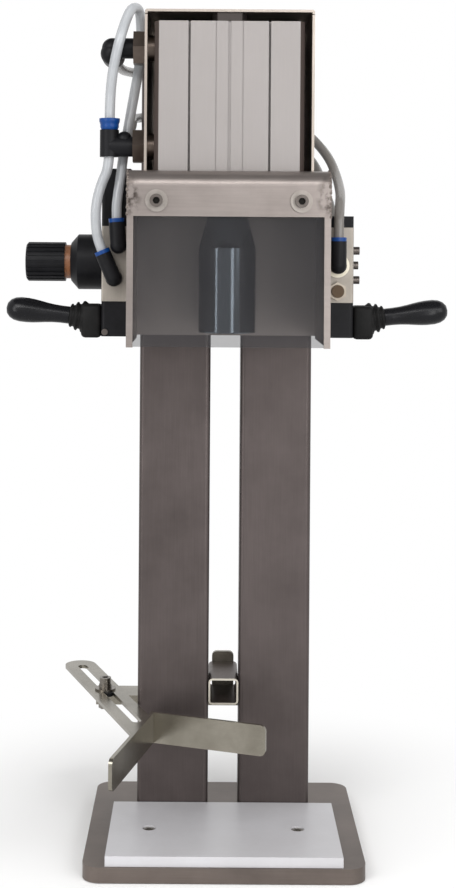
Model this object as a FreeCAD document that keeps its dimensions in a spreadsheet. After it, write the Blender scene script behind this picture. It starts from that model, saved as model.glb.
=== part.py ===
"""Bench crown capper: a ram cylinder on two box posts closes a crown cap on a bottle.

Millimetres, +Z up. The origin lies on the capping axis at the base plate's underside, and the
posts stand behind the axis, at +Y. Driving sizes are cells of the sheet "sizes", and every
sub-part binds to them.
"""
import FreeCAD, Part
import math
import os
import re

import Sketcher
from FreeCAD import Placement, Rotation, Vector

os.makedirs("parts", exist_ok=True)
doc = FreeCAD.newDocument("crown_capper")

SIZES = {
    # Base and posts
    "base_width": 220,
    "base_front": 61,
    "base_back": 132,
    "base_thickness": 12,
    "base_corner": 14,
    "rest_width": 184,
    "rest_depth": 118,
    "rest_thickness": 8,
    "rest_screw_span": 120,
    "rest_screw_radius": 5,
    "rest_screw_head": 5,
    "rest_recess_clearance": 0.5,
    "rest_recess_depth": 6,
    "post_width": 60,
    "post_depth": 30,
    "post_wall": 2,
    "post_corner": 4,
    "post_gap": 25.4,
    "post_front": 60,
    "post_top": 665,
    # Cylinder housing, a folded channel open at the front
    "sheet_gauge": 2,
    "housing_half_width": 65.5,
    "housing_front": 60,
    "housing_top": 672.7,
    "spacer_width": 27,
    "spacer_front_width": 19,
    "spacer_chamfer_depth": 10,
    "corner_slit": 0.8,
    "corner_slit_drop": 1.3,
    "corner_slit_length": 7.5,
    # Cylinder
    "profile_side": 116,
    "profile_chamfer": 3.5,
    "profile_length": 149,
    "profile_top_gap": 6.7,
    "bore_radius": 50,
    "sensor_slot_place": 31,
    "sensor_slot_width": 1.8,
    "sensor_slot_depth": 5,
    "band_line_place": 10.4,
    "band_line_width": 0.8,
    "band_line_depth": 0.6,
    "centre_slot_width": 2.3,
    "centre_slot_depth": 1.2,
    "top_cover_thickness": 16,
    "bottom_cover_thickness": 24,
    "piston_thickness": 20,
    "piston_top_gap": 7,
    "seal_height": 5,
    "seal_depth": 4,
    "seal_inset": 3,
    "running_clearance": 0.05,
    "rod_radius": 12.5,
    "rod_spigot_radius": 8,
    "bush_wall": 3,
    "back_screw_radius": 4,
    "back_screw_head_radius": 6.5,
    "back_screw_head": 8,
    "back_screw_reach": 16,
    "back_screw_rise": 12,
    "back_screw_drop": 8,
    "air_way_radius": 2.5,
    # Capping bell on the end of the rod
    "bell_radius": 23.2,
    "bell_neck_radius": 16.5,
    "bell_top_gap": 1,
    "bell_cone": 25,
    "bell_length": 93,
    "bell_groove_rise": 33,
    "bell_groove_height": 1.6,
    "bell_groove_depth": 0.8,
    "bell_line_rise": 7,
    "bell_line_height": 0.6,
    "bell_line_depth": 0.4,
    "bell_chamber_rise": 20,
    "bell_chamber_top": 59,
    "bell_spigot_floor": 64,
    "throat_outer_radius": 19,
    "throat_radius": 14.25,
    "throat_mouth_radius": 16.5,
    "throat_mouth_height": 3,
    "throat_depth": 12,
    "ejector_radius": 11,
    "ejector_flange_radius": 13,
    "ejector_flange": 5,
    "ejector_face_rise": 6,
    "magnet_radius": 6,
    "magnet_height": 6,
    "spring_wire_radius": 1.1,
    "spring_radius": 10.9,
    "spring_turns": 5,
    "spring_steps": 12,
    # Hood round the bell
    "hood_half_width": 77.5,
    "hood_front": 78,
    "hood_top": 548,
    "hood_bottom": 413,
    "hood_bend": 12,
    "hood_flange_bottom": 512.7,
    "hood_lip": 5,
    "hood_back_rise": 2.5,
    "hood_top_clearance": 0.3,
    "guard_thickness": 3,
    "guard_side_gap": 0.4,
    "guard_rise": 0.4,
    "guard_top": 536,
    "guard_screw_place": 55,
    "guard_screw_level": 524.5,
    "guard_screw_radius": 3,
    "guard_screw_head_radius": 5,
    "guard_screw_head": 5,
    "guard_socket_across": 5,
    "guard_socket_depth": 3,
    "guard_washer_radius": 8.5,
    "guard_washer_thickness": 2,
    "guard_nut_across": 10,
    "guard_nut": 5,
    "hole_clearance": 0.3,
    # Hand-lever valves on the hood's side walls
    "valve_width": 23,
    "valve_front": 18,
    "valve_back": 14,
    "valve_corner": 1.5,
    "valve_bottom": 446,
    "valve_top": 506,
    "right_cap_height": 9,
    "left_cap_height": 45.7,
    "cap_corner": 2.5,
    "head_drop": 28,
    "head_corner": 3,
    "head_socket_depth": 16.5,
    "head_socket_width": 17,
    "head_socket_height": 23,
    "pivot_place": 91,
    "pivot_back": -2,
    "pivot_level": 430,
    "pivot_radius": 2.5,
    "lever_tongue_radius": 6.5,
    "lever_tongue": 8,
    "lever_neck_radius": 5,
    "lever_grip_start": 37,
    "lever_grip_middle": 54,
    "lever_bulb_place": 77.5,
    "lever_grip_radius": 7,
    "lever_grip_middle_radius": 7.8,
    "lever_swell_radius": 9.2,
    "lever_bulb_radius": 10,
    "lever_tilt": 6.5,
    "boot_block_length": 17,
    "boot_block_height": 27,
    "boot_block_corner": 5,
    "boot_bore": 9,
    "boot_ridge_radius": 12.5,
    "boot_valley_radius": 9.5,
    "boot_step": 3.2,
    "boot_fold_sink": 1.5,
    "boot_ridge_taper": 1.6,
    "boot_valley_taper": 1.2,
    "boot_wall": 2,
    # Push-in fittings, collars and the silencer
    "fitting_radius": 6.3,
    "fitting_base_radius": 6.5,
    "fitting_standoff": 11,
    "tube_radius": 4,
    "tube_clearance": 0.05,
    "collar_radius": 6.2,
    "collar_height": 3,
    "right_base_place": 87.5,
    "right_base_level": 475.6,
    "right_leg": 19.4,
    "right_bore_floor": 10.4,
    "upper_base_place": 86.5,
    "upper_base_level": 490.5,
    "upper_leg": 18.5,
    "upper_bore_floor": 6.5,
    "upper_lean": 4.3,
    "lower_base_place": 90,
    "lower_base_level": 464.5,
    "lower_leg": 21,
    "lower_bore_floor": 12,
    "lower_lean": 23.5,
    "regulator_leg": 14,
    "regulator_bore_floor": 7,
    "regulator_leg_offset": 0.75,
    "ring_outer_radius": 9.5,
    "ring_thickness": 2,
    "silencer_level": 455.2,
    "silencer_across": 13,
    "silencer_hex": 5,
    "silencer_core_radius": 4.9,
    "silencer_core": 3,
    "stud_radius": 3.25,
    "stud_length": 6,
    "stud_low_level": 464,
    "stud_pitch": 11.8,
    "bleed_stud_radius": 2.5,
    "bleed_stud_length": 2,
    "bleed_stud_place": 97.5,
    "bleed_stud_level": 421.5,
    # Cylinder ports on the housing's left wall
    "port_front": 36,
    "port_upper_drop": 18.9,
    "port_lower_rise": 53.1,
    "port_hex_across": 25,
    "port_hex_length": 9.5,
    "port_shank_radius": 10.2,
    "port_depth": 9,
    "elbow_radius": 8,
    "elbow_end": 92,
    "elbow_leg_radius": 9,
    "elbow_leg_drop": 4.1,
    "elbow_leg_front": 14,
    "elbow_bore_floor": 30,
    "tee_run_place": 93.6,
    "tee_run_radius": 7.5,
    "tee_run_drop": 8.2,
    "tee_run_rise": 12.9,
    "tee_web_rise": 1.9,
    "tee_web": 3,
    "tee_boss_place": 82,
    "tee_boss_radius": 6,
    "tee_boss_rise": 5.9,
    "big_collar_foot_radius": 6.4,
    "big_collar_radius": 7.3,
    "big_collar_lip_radius": 8.1,
    "big_collar_height": 9,
    # Regulator on the hood's left wall
    "regulator_length": 22.5,
    "regulator_side": 44,
    "regulator_back": 38,
    "regulator_level": 477,
    "regulator_corner": 3,
    "regulator_port_radius": 6.58,
    "regulator_port_depth": 12,
    "bonnet_radius": 22.85,
    "bonnet_length": 23,
    "bonnet_cone": 6,
    "bonnet_nose_radius": 16,
    "lock_ring_radius": 14,
    "lock_ring_length": 5,
    "lock_ring_bore": 7,
    "stem_radius": 4,
    "stem_inner_end": 111,
    "stem_outer_end": 157,
    "knob_radius": 16.2,
    "knob_length": 32,
    "knob_edge": 1.5,
    "knob_cavity_radius": 14.5,
    "knob_cavity_depth": 5,
    "knob_bore_end": 28,
    "knob_groove_depth": 0.8,
    "knob_groove_width": 1.8,
    # Bottle guide
    "slider_side_clearance": 0.1,
    "slider_height": 22,
    "slider_bottom": 102.3,
    "slider_wall": 1.5,
    "slider_corner": 3.5,
    "slider_length": 56,
    "tab_width": 19,
    "tab_thickness": 4,
    "tab_top": 133,
    "tab_corner": 4,
    "crossbar_front": 91.5,
    "crossbar_depth": 30,
    "crossbar_thickness": 8,
    "crossbar_top": 100.5,
    "crossbar_left": 110,
    "crossbar_right": 30,
    "arm_thickness": 3,
    "arm_width": 28,
    "arm_left": 87.1,
    "arm_back": 55.4,
    "arm_turn": 109.27,
    "arm_near_end": 80,
    "arm_far_end": 132,
    "slot_width": 8,
    "slot_near_end": 48,
    "slot_far_end": 125,
    "bolt_along": 47,
    "vee_left": 59,
    "vee_back": 34,
    "vee_right_wing": 99,
    "vee_left_wing": 124,
    "vee_right_turn": 20.32,
    "vee_left_turn": 102.86,
    "vee_height": 25,
    "vee_thickness": 3,
    "vee_corner": 5,
    "guide_block_width": 7.9,
    "guide_block_length": 28,
    "guide_washer_radius": 9,
    "guide_washer": 1.5,
    "spring_washer_radius": 5.5,
    "spring_washer": 3,
    "guide_bolt_radius": 3,
    "guide_bolt_head_radius": 5,
    "guide_bolt_head": 6,
    "guide_nut_across": 10,
    "guide_nut": 5,
}

# The sheet: one alias a row, the plain number beside its name.
sheet = doc.addObject("Spreadsheet::Sheet", "sizes")
for row, (alias, number) in enumerate(SIZES.items(), start=1):
    sheet.set(f"A{row}", alias)
    sheet.set(f"B{row}", str(number))
    sheet.setAlias(f"B{row}", alias)
doc.recompute()

WORD = re.compile(r"[a-z_]+")
NODES = []
TURNS = {
    "X": Rotation(Vector(0, 1, 0), 90),
    "Y": Rotation(Vector(1, 0, 0), -90),
    "Z": Rotation(),
}
FULL_TURN = 360
HALF_TURN = Rotation(Vector(0, 0, 1), 180)
HEX_FLATS_UP = 30
MITRED = 1


def value(alias):
    """The number that a cell of the sheet holds."""
    return float(sheet.get(alias))


def formula(text):
    """The same text with each alias addressed to the sheet."""
    def address(match):
        word = match.group(0)
        return f"sizes.{word}" if word in SIZES else word
    return WORD.sub(address, str(text))


def bind(item, place, text):
    item.setExpression(place, formula(text))


def put(item, x, y, z):
    """Bind an object's place."""
    for axis, text in zip("xyz", (x, y, z)):
        bind(item, f"Placement.Base.{axis}", text)
    return item


def keep(item, node):
    """Name a finished sub-part."""
    item.Label = node
    NODES.append(item)
    return item


# Part primitives

def block(name, low, size):
    """A box from its lowest corner."""
    item = doc.addObject("Part::Box", name)
    for place, text in zip(("Length", "Width", "Height"), size):
        bind(item, place, text)
    return put(item, *low)


def rod(name, along, start, radius, length):
    """A cylinder whose axis points along +X, +Y or +Z from its start."""
    item = doc.addObject("Part::Cylinder", name)
    item.Placement = Placement(Vector(), TURNS[along])
    bind(item, "Radius", radius)
    bind(item, "Height", length)
    return put(item, *start)


def cone(name, along, start, first, last, length):
    """A cone frustum from its first radius to its last."""
    item = doc.addObject("Part::Cone", name)
    item.Placement = Placement(Vector(), TURNS[along])
    bind(item, "Radius1", first)
    bind(item, "Radius2", last)
    bind(item, "Height", length)
    return put(item, *start)


def ball(name, centre, radius):
    item = doc.addObject("Part::Sphere", name)
    bind(item, "Radius", radius)
    return put(item, *centre)


def hexagon(name, along, start, across, length, spin=0):
    """A hexagonal prism given its size across flats."""
    item = doc.addObject("Part::Prism", name)
    item.Polygon = 6
    item.Placement = Placement(Vector(), TURNS[along] * Rotation(Vector(0, 0, 1), spin))
    bind(item, "Circumradius", f"({across}) / sqrt(3)")
    bind(item, "Height", length)
    return put(item, *start)


def join(name, *items):
    fused = doc.addObject("Part::MultiFuse", name)
    fused.Shapes = list(items)
    fused.Refine = True
    return fused


def cut(name, base, *tools):
    item = doc.addObject("Part::Cut", name)
    item.Base = base
    item.Tool = tools[0] if len(tools) == 1 else join(f"{name}_tools", *tools)
    item.Refine = True
    return item


def group(name, *items):
    """Like pieces that stay separate solids."""
    item = doc.addObject("Part::Compound", name)
    item.Links = list(items)
    return item


def ring(name, along, start, outer, inner, length):
    return cut(
        name, rod(f"{name}_rim", along, start, outer, length),
        rod(f"{name}_bore", along, start, inner, length),
    )


def place_built(item, place, rotation):
    """Move an item that was built round its own origin."""
    item.Placement = Placement(Vector(), rotation)
    return put(item, *place)


def soften(name, base, radius, pick):
    """Round the edges of a Part object that the test picks."""
    doc.recompute()
    size = value(radius)
    edges = [
        (number, size, size)
        for number, edge in enumerate(base.Shape.Edges, start=1)
        if pick(edge)
    ]
    item = doc.addObject("Part::Fillet", name)
    item.Base = base
    item.Edges = edges
    return item


def runs(edge, axis):
    """True for a straight edge parallel to x, y or z."""
    if not isinstance(edge.Curve, Part.Line):
        return False
    return abs(abs(getattr(edge.Curve.Direction, axis)) - 1) < 1e-6


def middle(edge):
    return edge.valueAt((edge.FirstParameter + edge.LastParameter) / 2)


# PartDesign bodies

def new_body(name):
    return doc.addObject("PartDesign::Body", name)


def new_sketch(body, name, role, offset="0"):
    """A sketch on one of the body's own origin planes, lifted along the plane's normal."""
    sketch = body.newObject("Sketcher::SketchObject", name)
    plane = next(item for item in body.Origin.OriginFeatures if item.Role == role)
    sketch.AttachmentSupport = [(plane, "")]
    sketch.MapMode = "FlatFace"
    bind(sketch, "AttachmentOffset.Base.z", offset)
    return sketch


def polygon(sketch, corners):
    """A closed outline. Each corner is held by a level and an upright distance."""
    count = len(corners)
    first = sketch.GeometryCount
    spread = [
        Vector(math.cos(2 * math.pi * turn / count), math.sin(2 * math.pi * turn / count), 0)
        for turn in range(count)
    ]
    for turn in range(count):
        sketch.addGeometry(Part.LineSegment(spread[turn], spread[(turn + 1) % count]))
    for turn in range(count):
        following = first + (turn + 1) % count
        sketch.addConstraint(Sketcher.Constraint("Coincident", first + turn, 2, following, 1))
    for turn, corner in enumerate(corners):
        for kind, text, start in zip(("DistanceX", "DistanceY"), corner, spread[turn]):
            index = sketch.addConstraint(
                Sketcher.Constraint(kind, -1, 1, first + turn, 1, start)
            )
            bind(sketch, f"Constraints[{index}]", text)


def rectangle(sketch, left, low, right, high):
    polygon(sketch, [(left, low), (right, low), (right, high), (left, high)])


def circle(sketch, x, y, radius):
    number = sketch.addGeometry(Part.Circle(Vector(0, 0, 0), Vector(0, 0, 1), 1))
    for kind, text in (("DistanceX", x), ("DistanceY", y)):
        index = sketch.addConstraint(Sketcher.Constraint(kind, -1, 1, number, 3, 0))
        bind(sketch, f"Constraints[{index}]", text)
    index = sketch.addConstraint(Sketcher.Constraint("Radius", number, 1))
    bind(sketch, f"Constraints[{index}]", radius)


def feature(body, kind, name, sketch, length, reverse=False):
    item = body.newObject(f"PartDesign::{kind}", name)
    item.Profile = sketch
    item.Reversed = reverse
    bind(item, "Length", length)
    return item


def pad(body, name, sketch, length, reverse=False):
    return feature(body, "Pad", name, sketch, length, reverse)


def pocket(body, name, sketch, length, reverse=False):
    return feature(body, "Pocket", name, sketch, length, reverse)


def fillet(body, name, radius, pick):
    """Round the edges of a body's tip that the test picks."""
    doc.recompute()
    base = body.Tip
    names = [
        f"Edge{number}"
        for number, edge in enumerate(base.Shape.Edges, start=1)
        if pick(edge)
    ]
    item = body.newObject("PartDesign::Fillet", name)
    item.Base = (base, names)
    bind(item, "Radius", radius)
    return item


def repeat(body, name, made, sketch, count):
    """Repeat a feature round the sketch's normal through the origin."""
    doc.recompute()
    pattern = body.newObject("PartDesign::PolarPattern", name)
    pattern.Originals = [made]
    pattern.Axis = (sketch, ["N_Axis"])
    pattern.Angle = FULL_TURN
    pattern.Occurrences = count
    body.Tip = pattern
    return pattern


def turned(name, section, along="Z"):
    """A body revolved from its half section of (radius, distance along the axis) corners."""
    body = new_body(name)
    sketch = new_sketch(body, f"{name}_section", "XZ_Plane")
    if along == "Z":
        polygon(sketch, section)
    else:
        polygon(sketch, [(place, radius) for radius, place in section])
    item = body.newObject("PartDesign::Revolution", f"{name}_turn")
    item.Profile = sketch
    item.ReferenceAxis = (sketch, ["V_Axis" if along == "Z" else "H_Axis"])
    item.Angle = FULL_TURN
    return body


# Places that several sub-parts share

REST_TOP = "(base_thickness + rest_thickness)"
POST_INNER = "(post_gap / 2)"
POST_OUTER = "(post_gap / 2 + post_width)"
POST_BACK = "(post_front + post_depth)"
HOUSING_INNER = "(housing_half_width - sheet_gauge)"
BACK_INNER = "(post_front - sheet_gauge)"
HOUSING_CEILING = "(housing_top - sheet_gauge)"
PROFILE_TOP = "(housing_top - sheet_gauge - profile_top_gap)"
PROFILE_BOTTOM = f"({PROFILE_TOP} - profile_length)"
PROFILE_HALF = "(profile_side / 2)"
BACK_SCREW_LOW = f"({PROFILE_BOTTOM} + back_screw_rise)"
BACK_SCREW_HIGH = f"({PROFILE_TOP} - back_screw_drop)"
PORT_UPPER = f"({PROFILE_TOP} - port_upper_drop)"
PORT_LOWER = f"({PROFILE_BOTTOM} + port_lower_rise)"
ELBOW_LEG_LEVEL = f"({PORT_UPPER} - elbow_leg_drop)"
TEE_BOTTOM = f"({PORT_LOWER} - tee_run_drop)"
TEE_TOP = f"({PORT_LOWER} + tee_run_rise)"
TEE_WEB = f"({PORT_LOWER} + tee_web_rise)"
TEE_BOSS_TOP = f"({PORT_LOWER} + tee_boss_rise)"
PISTON_TOP = f"({PROFILE_TOP} - top_cover_thickness - piston_top_gap)"
PISTON_BOTTOM = f"({PISTON_TOP} - piston_thickness)"
BELL_TOP = f"({PROFILE_BOTTOM} - bell_top_gap)"
BELL_BOTTOM = f"({BELL_TOP} - bell_length)"
CHAMBER_FLOOR = f"({BELL_BOTTOM} + bell_chamber_rise)"
CHAMBER_ROOF = f"({BELL_BOTTOM} + bell_chamber_top)"
CHAMBER_RADIUS = "(ejector_flange_radius + running_clearance)"
HOOD_INNER = "(hood_half_width - sheet_gauge)"
VALVE_OUTER = "(hood_half_width + valve_width)"
VALVE_DEPTH = "(valve_front + valve_back)"
HEAD_BOTTOM = "(valve_bottom - head_drop)"
TUBE_BORE = "(tube_radius + tube_clearance)"
BONNET_END = "(hood_half_width + regulator_length + bonnet_length)"
NOSE_END = f"({BONNET_END} + bonnet_cone)"
KNOB_START = f"({NOSE_END} + lock_ring_length)"
BOLT_X = "(-arm_left + bolt_along * cos(arm_turn))"
BOLT_Y = "(arm_back + bolt_along * sin(arm_turn))"
ARM_TOP = "(crossbar_top + arm_thickness)"
SAME_LENGTH = 1e-3


def sides():
    """Each side's name, its sign in an expression and its sign as a number."""
    return (("left", "-", -1), ("right", "", 1))


def back_screw_holes(name, radius):
    return [
        rod(f"{name}_{row}", "Y", ("0", "post_front - back_screw_reach", level), radius,
            "back_screw_reach")
        for row, level in (("low", BACK_SCREW_LOW), ("high", BACK_SCREW_HIGH))
    ]


def base_plate():
    body = new_body("base_plate_body")
    sketch = new_sketch(body, "base_outline", "XY_Plane")
    rectangle(sketch, "-base_width / 2", "-base_front", "base_width / 2", "base_back")
    pad(body, "base_pad", sketch, "base_thickness")
    fillet(body, "base_corners", "base_corner", lambda edge: runs(edge, "z"))
    holes = new_sketch(body, "rest_screw_holes", "XY_Plane", "base_thickness")
    for _, sign, _ in sides():
        circle(holes, f"{sign}rest_screw_span / 2", "0", "rest_screw_radius / 2")
    pocket(body, "rest_screw_pocket", holes, "base_thickness / 2")
    keep(body, "base_plate")


def bottle_rest_plate():
    body = new_body("rest_plate_body")
    sketch = new_sketch(body, "rest_outline", "XY_Plane", "base_thickness")
    rectangle(sketch, "-rest_width / 2", "-rest_depth / 2", "rest_width / 2", "rest_depth / 2")
    pad(body, "rest_pad", sketch, "rest_thickness")
    recesses = new_sketch(body, "rest_recesses", "XY_Plane", REST_TOP)
    shanks = new_sketch(body, "rest_shank_holes", "XY_Plane", REST_TOP)
    for _, sign, _ in sides():
        place = f"{sign}rest_screw_span / 2"
        circle(recesses, place, "0", "rest_screw_radius + rest_recess_clearance")
        circle(shanks, place, "0", "rest_screw_radius / 2 + hole_clearance")
    pocket(body, "rest_recess_pocket", recesses, "rest_recess_depth")
    pocket(body, "rest_shank_pocket", shanks, "rest_thickness")
    keep(body, "bottle_rest_plate")


def rest_plate_screws():
    screws = []
    seat = f"{REST_TOP} - rest_recess_depth"
    for side, sign, _ in sides():
        place = f"{sign}rest_screw_span / 2"
        head = rod(f"rest_head_{side}", "Z", (place, "0", seat), "rest_screw_radius", "rest_screw_head")
        shank = rod(
            f"rest_shank_{side}", "Z", (place, "0", "base_thickness / 2"),
            "rest_screw_radius / 2", f"{seat} - base_thickness / 2",
        )
        socket = hexagon(
            f"rest_socket_{side}", "Z", (place, "0", f"{seat} + rest_screw_head / 2"),
            "rest_screw_radius", "rest_screw_head / 2",
        )
        screws.append(cut(f"rest_screw_{side}", join(f"rest_solid_{side}", head, shank), socket))
    keep(group("rest_screws", *screws), "rest_plate_screws")


def posts():
    """Two box tubes with rounded corners, open at their tops."""
    for side, _, way in sides():
        low, high = (
            (f"-{POST_OUTER}", f"-{POST_INNER}") if way < 0 else (POST_INNER, POST_OUTER)
        )
        body = new_body(f"{side}_post_body")
        outline = new_sketch(body, f"{side}_post_outline", "XY_Plane", "base_thickness")
        rectangle(outline, low, "post_front", high, POST_BACK)
        pad(body, f"{side}_post_pad", outline, "post_top - base_thickness")
        fillet(body, f"{side}_post_corners", "post_corner", lambda edge: runs(edge, "z"))
        bore = new_sketch(body, f"{side}_post_bore", "XY_Plane", "post_top")
        rectangle(
            bore, f"{low} + post_wall", "post_front + post_wall",
            f"{high} - post_wall", f"{POST_BACK} - post_wall",
        )
        pocket(body, f"{side}_post_hollow", bore, "post_top - base_thickness")
        keep(body, f"{side}_post")


def cylinder_housing():
    """Folded channel: back wall, side walls and a top flange, standing on the hood."""
    body = new_body("housing_body")
    outline = new_sketch(body, "housing_outline", "XY_Plane", "hood_top")
    rectangle(outline, "-housing_half_width", "-housing_front", "housing_half_width", "post_front")
    pad(body, "housing_pad", outline, "housing_top - hood_top")
    fillet(
        body, "housing_bends", "sheet_gauge",
        lambda edge: runs(edge, "z") and middle(edge).y > 0
        or runs(edge, "y") and middle(edge).z > value("hood_top") + 1,
    )
    hollow = new_sketch(body, "housing_hollow", "XZ_Plane", "housing_front")
    rectangle(hollow, f"-{HOUSING_INNER}", "hood_top", HOUSING_INNER, HOUSING_CEILING)
    pocket(body, "housing_inside", hollow, f"housing_front + {BACK_INNER}")
    slits = new_sketch(body, "corner_slits", "XZ_Plane", "housing_front")
    slit_top = f"{HOUSING_CEILING} - corner_slit_drop"
    rectangle(slits, "-housing_half_width", f"{slit_top} - corner_slit", f"-{HOUSING_INNER}", slit_top)
    rectangle(slits, HOUSING_INNER, f"{slit_top} - corner_slit", "housing_half_width", slit_top)
    pocket(body, "corner_relief", slits, "corner_slit_length")
    ports = new_sketch(body, "port_holes", "YZ_Plane", "-housing_half_width")
    for level in (PORT_UPPER, PORT_LOWER):
        circle(ports, "-port_front", level, "port_shank_radius + hole_clearance")
    pocket(body, "port_pocket", ports, "sheet_gauge", reverse=True)
    screw = new_sketch(body, "back_screw_holes", "XZ_Plane", "-post_front")
    for level in (BACK_SCREW_LOW, BACK_SCREW_HIGH):
        circle(screw, "0", level, "back_screw_radius + hole_clearance")
    pocket(body, "back_screw_pocket", screw, "sheet_gauge", reverse=True)
    keep(body, "cylinder_housing")


def top_spacer():
    """Block that passes the cylinder's push to the top flange."""
    body = new_body("spacer_body")
    front = f"-{PROFILE_HALF}"
    shoulder = f"{front} + spacer_chamfer_depth"
    sketch = new_sketch(body, "spacer_outline", "XY_Plane", PROFILE_TOP)
    polygon(sketch, [
        ("-spacer_front_width / 2", front),
        ("spacer_front_width / 2", front),
        ("spacer_width / 2", shoulder),
        ("spacer_width / 2", BACK_INNER),
        ("-spacer_width / 2", BACK_INNER),
        ("-spacer_width / 2", shoulder),
    ])
    pad(body, "spacer_pad", sketch, "profile_top_gap")
    keep(body, "top_spacer")


def cylinder_body():
    """Extruded square barrel with sensor slots on its four sides."""
    body = new_body("barrel_body")
    outline = new_sketch(body, "barrel_outline", "XY_Plane", PROFILE_BOTTOM)
    near = f"({PROFILE_HALF} - profile_chamfer)"
    polygon(outline, [
        (f"-{near}", f"-{PROFILE_HALF}"), (near, f"-{PROFILE_HALF}"),
        (PROFILE_HALF, f"-{near}"), (PROFILE_HALF, near),
        (near, PROFILE_HALF), (f"-{near}", PROFILE_HALF),
        (f"-{PROFILE_HALF}", near), (f"-{PROFILE_HALF}", f"-{near}"),
    ])
    pad(body, "barrel_pad", outline, "profile_length")
    bore = new_sketch(body, "barrel_bore", "XY_Plane", PROFILE_TOP)
    circle(bore, "0", "0", "bore_radius")
    pocket(body, "barrel_hollow", bore, "profile_length")
    slots = new_sketch(body, "sensor_slots", "XY_Plane", PROFILE_TOP)
    lines = (
        ("-sensor_slot_place", "sensor_slot_width", "sensor_slot_depth"),
        ("sensor_slot_place", "sensor_slot_width", "sensor_slot_depth"),
        ("-band_line_place", "band_line_width", "band_line_depth"),
        ("band_line_place", "band_line_width", "band_line_depth"),
        ("0", "centre_slot_width", "centre_slot_depth"),
    )
    for place, width, depth in lines:
        rectangle(
            slots, f"{place} - {width} / 2", f"-{PROFILE_HALF}",
            f"{place} + {width} / 2", f"-{PROFILE_HALF} + {depth}",
        )
    repeat(body, "slot_ring", pocket(body, "slot_pocket", slots, "profile_length"), slots, 4)
    holes = back_screw_holes("barrel_thread", "back_screw_radius")
    for name, level in (("upper", PORT_UPPER), ("lower", PORT_LOWER)):
        holes.append(rod(
            f"barrel_port_{name}", "X", (f"-{PROFILE_HALF}", "-port_front", level),
            "port_shank_radius", "port_depth",
        ))
        holes.append(rod(
            f"barrel_air_way_{name}", "X", (f"-{PROFILE_HALF}", "-port_front", level),
            "air_way_radius", "port_depth * 3",
        ))
    keep(cut("barrel_drilled", body, *holes), "cylinder_body")


def cylinder_inside():
    """End covers, fixing screws, piston, seals, rod and bush."""
    threads = back_screw_holes("cover_thread", "back_screw_radius")
    bush_radius = "(rod_radius + bush_wall)"
    top = rod(
        "top_cover_disc", "Z", ("0", "0", f"{PROFILE_TOP} - top_cover_thickness"), "bore_radius",
        "top_cover_thickness",
    )
    keep(cut("top_cover", top, threads[1]), "cylinder_top_cap")
    bottom = ring(
        "bottom_cover_disc", "Z", ("0", "0", PROFILE_BOTTOM), "bore_radius", bush_radius,
        "bottom_cover_thickness",
    )
    keep(cut("bottom_cover", bottom, threads[0]), "cylinder_bottom_cap")
    keep(ring(
        "bush", "Z", ("0", "0", PROFILE_BOTTOM), bush_radius, "rod_radius + running_clearance",
        "bottom_cover_thickness",
    ), "rod_bush")
    screws = []
    for row, level in (("low", BACK_SCREW_LOW), ("high", BACK_SCREW_HIGH)):
        shank = rod(
            f"back_shank_{row}", "Y", ("0", "post_front - back_screw_reach", level),
            "back_screw_radius", "back_screw_reach",
        )
        head = rod(
            f"back_head_{row}", "Y", ("0", "post_front", level), "back_screw_head_radius",
            "back_screw_head",
        )
        socket = hexagon(
            f"back_socket_{row}", "Y", ("0", "post_front + back_screw_head / 2", level),
            "back_screw_head_radius", "back_screw_head / 2",
        )
        screws.append(cut(f"back_screw_{row}", join(f"back_solid_{row}", shank, head), socket))
    keep(group("back_screws", *screws), "cylinder_screws")

    outer = "(bore_radius - running_clearance)"
    inner = f"({outer} - seal_depth)"
    lower_seal = f"({PISTON_BOTTOM} + seal_inset)"
    upper_seal = f"({PISTON_TOP} - seal_inset - seal_height)"
    keep(turned("piston_disc", [
        ("rod_spigot_radius", PISTON_BOTTOM),
        (outer, PISTON_BOTTOM),
        (outer, lower_seal),
        (inner, lower_seal),
        (inner, f"{lower_seal} + seal_height"),
        (outer, f"{lower_seal} + seal_height"),
        (outer, upper_seal),
        (inner, upper_seal),
        (inner, f"{upper_seal} + seal_height"),
        (outer, f"{upper_seal} + seal_height"),
        (outer, PISTON_TOP),
        ("rod_spigot_radius", PISTON_TOP),
    ]), "piston")
    seals = [
        ring(f"{name}_seal", "Z", ("0", "0", level), outer, inner, "seal_height")
        for name, level in (("lower", lower_seal), ("upper", upper_seal))
    ]
    keep(group("seal_pair", *seals), "piston_seals")
    foot = f"{BELL_BOTTOM} + bell_spigot_floor"
    keep(turned("rod_bar", [
        ("0", foot),
        ("rod_spigot_radius", foot),
        ("rod_spigot_radius", BELL_TOP),
        ("rod_radius", BELL_TOP),
        ("rod_radius", PISTON_BOTTOM),
        ("rod_spigot_radius", PISTON_BOTTOM),
        ("rod_spigot_radius", PISTON_TOP),
        ("0", PISTON_TOP),
    ]), "piston_rod")


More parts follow.
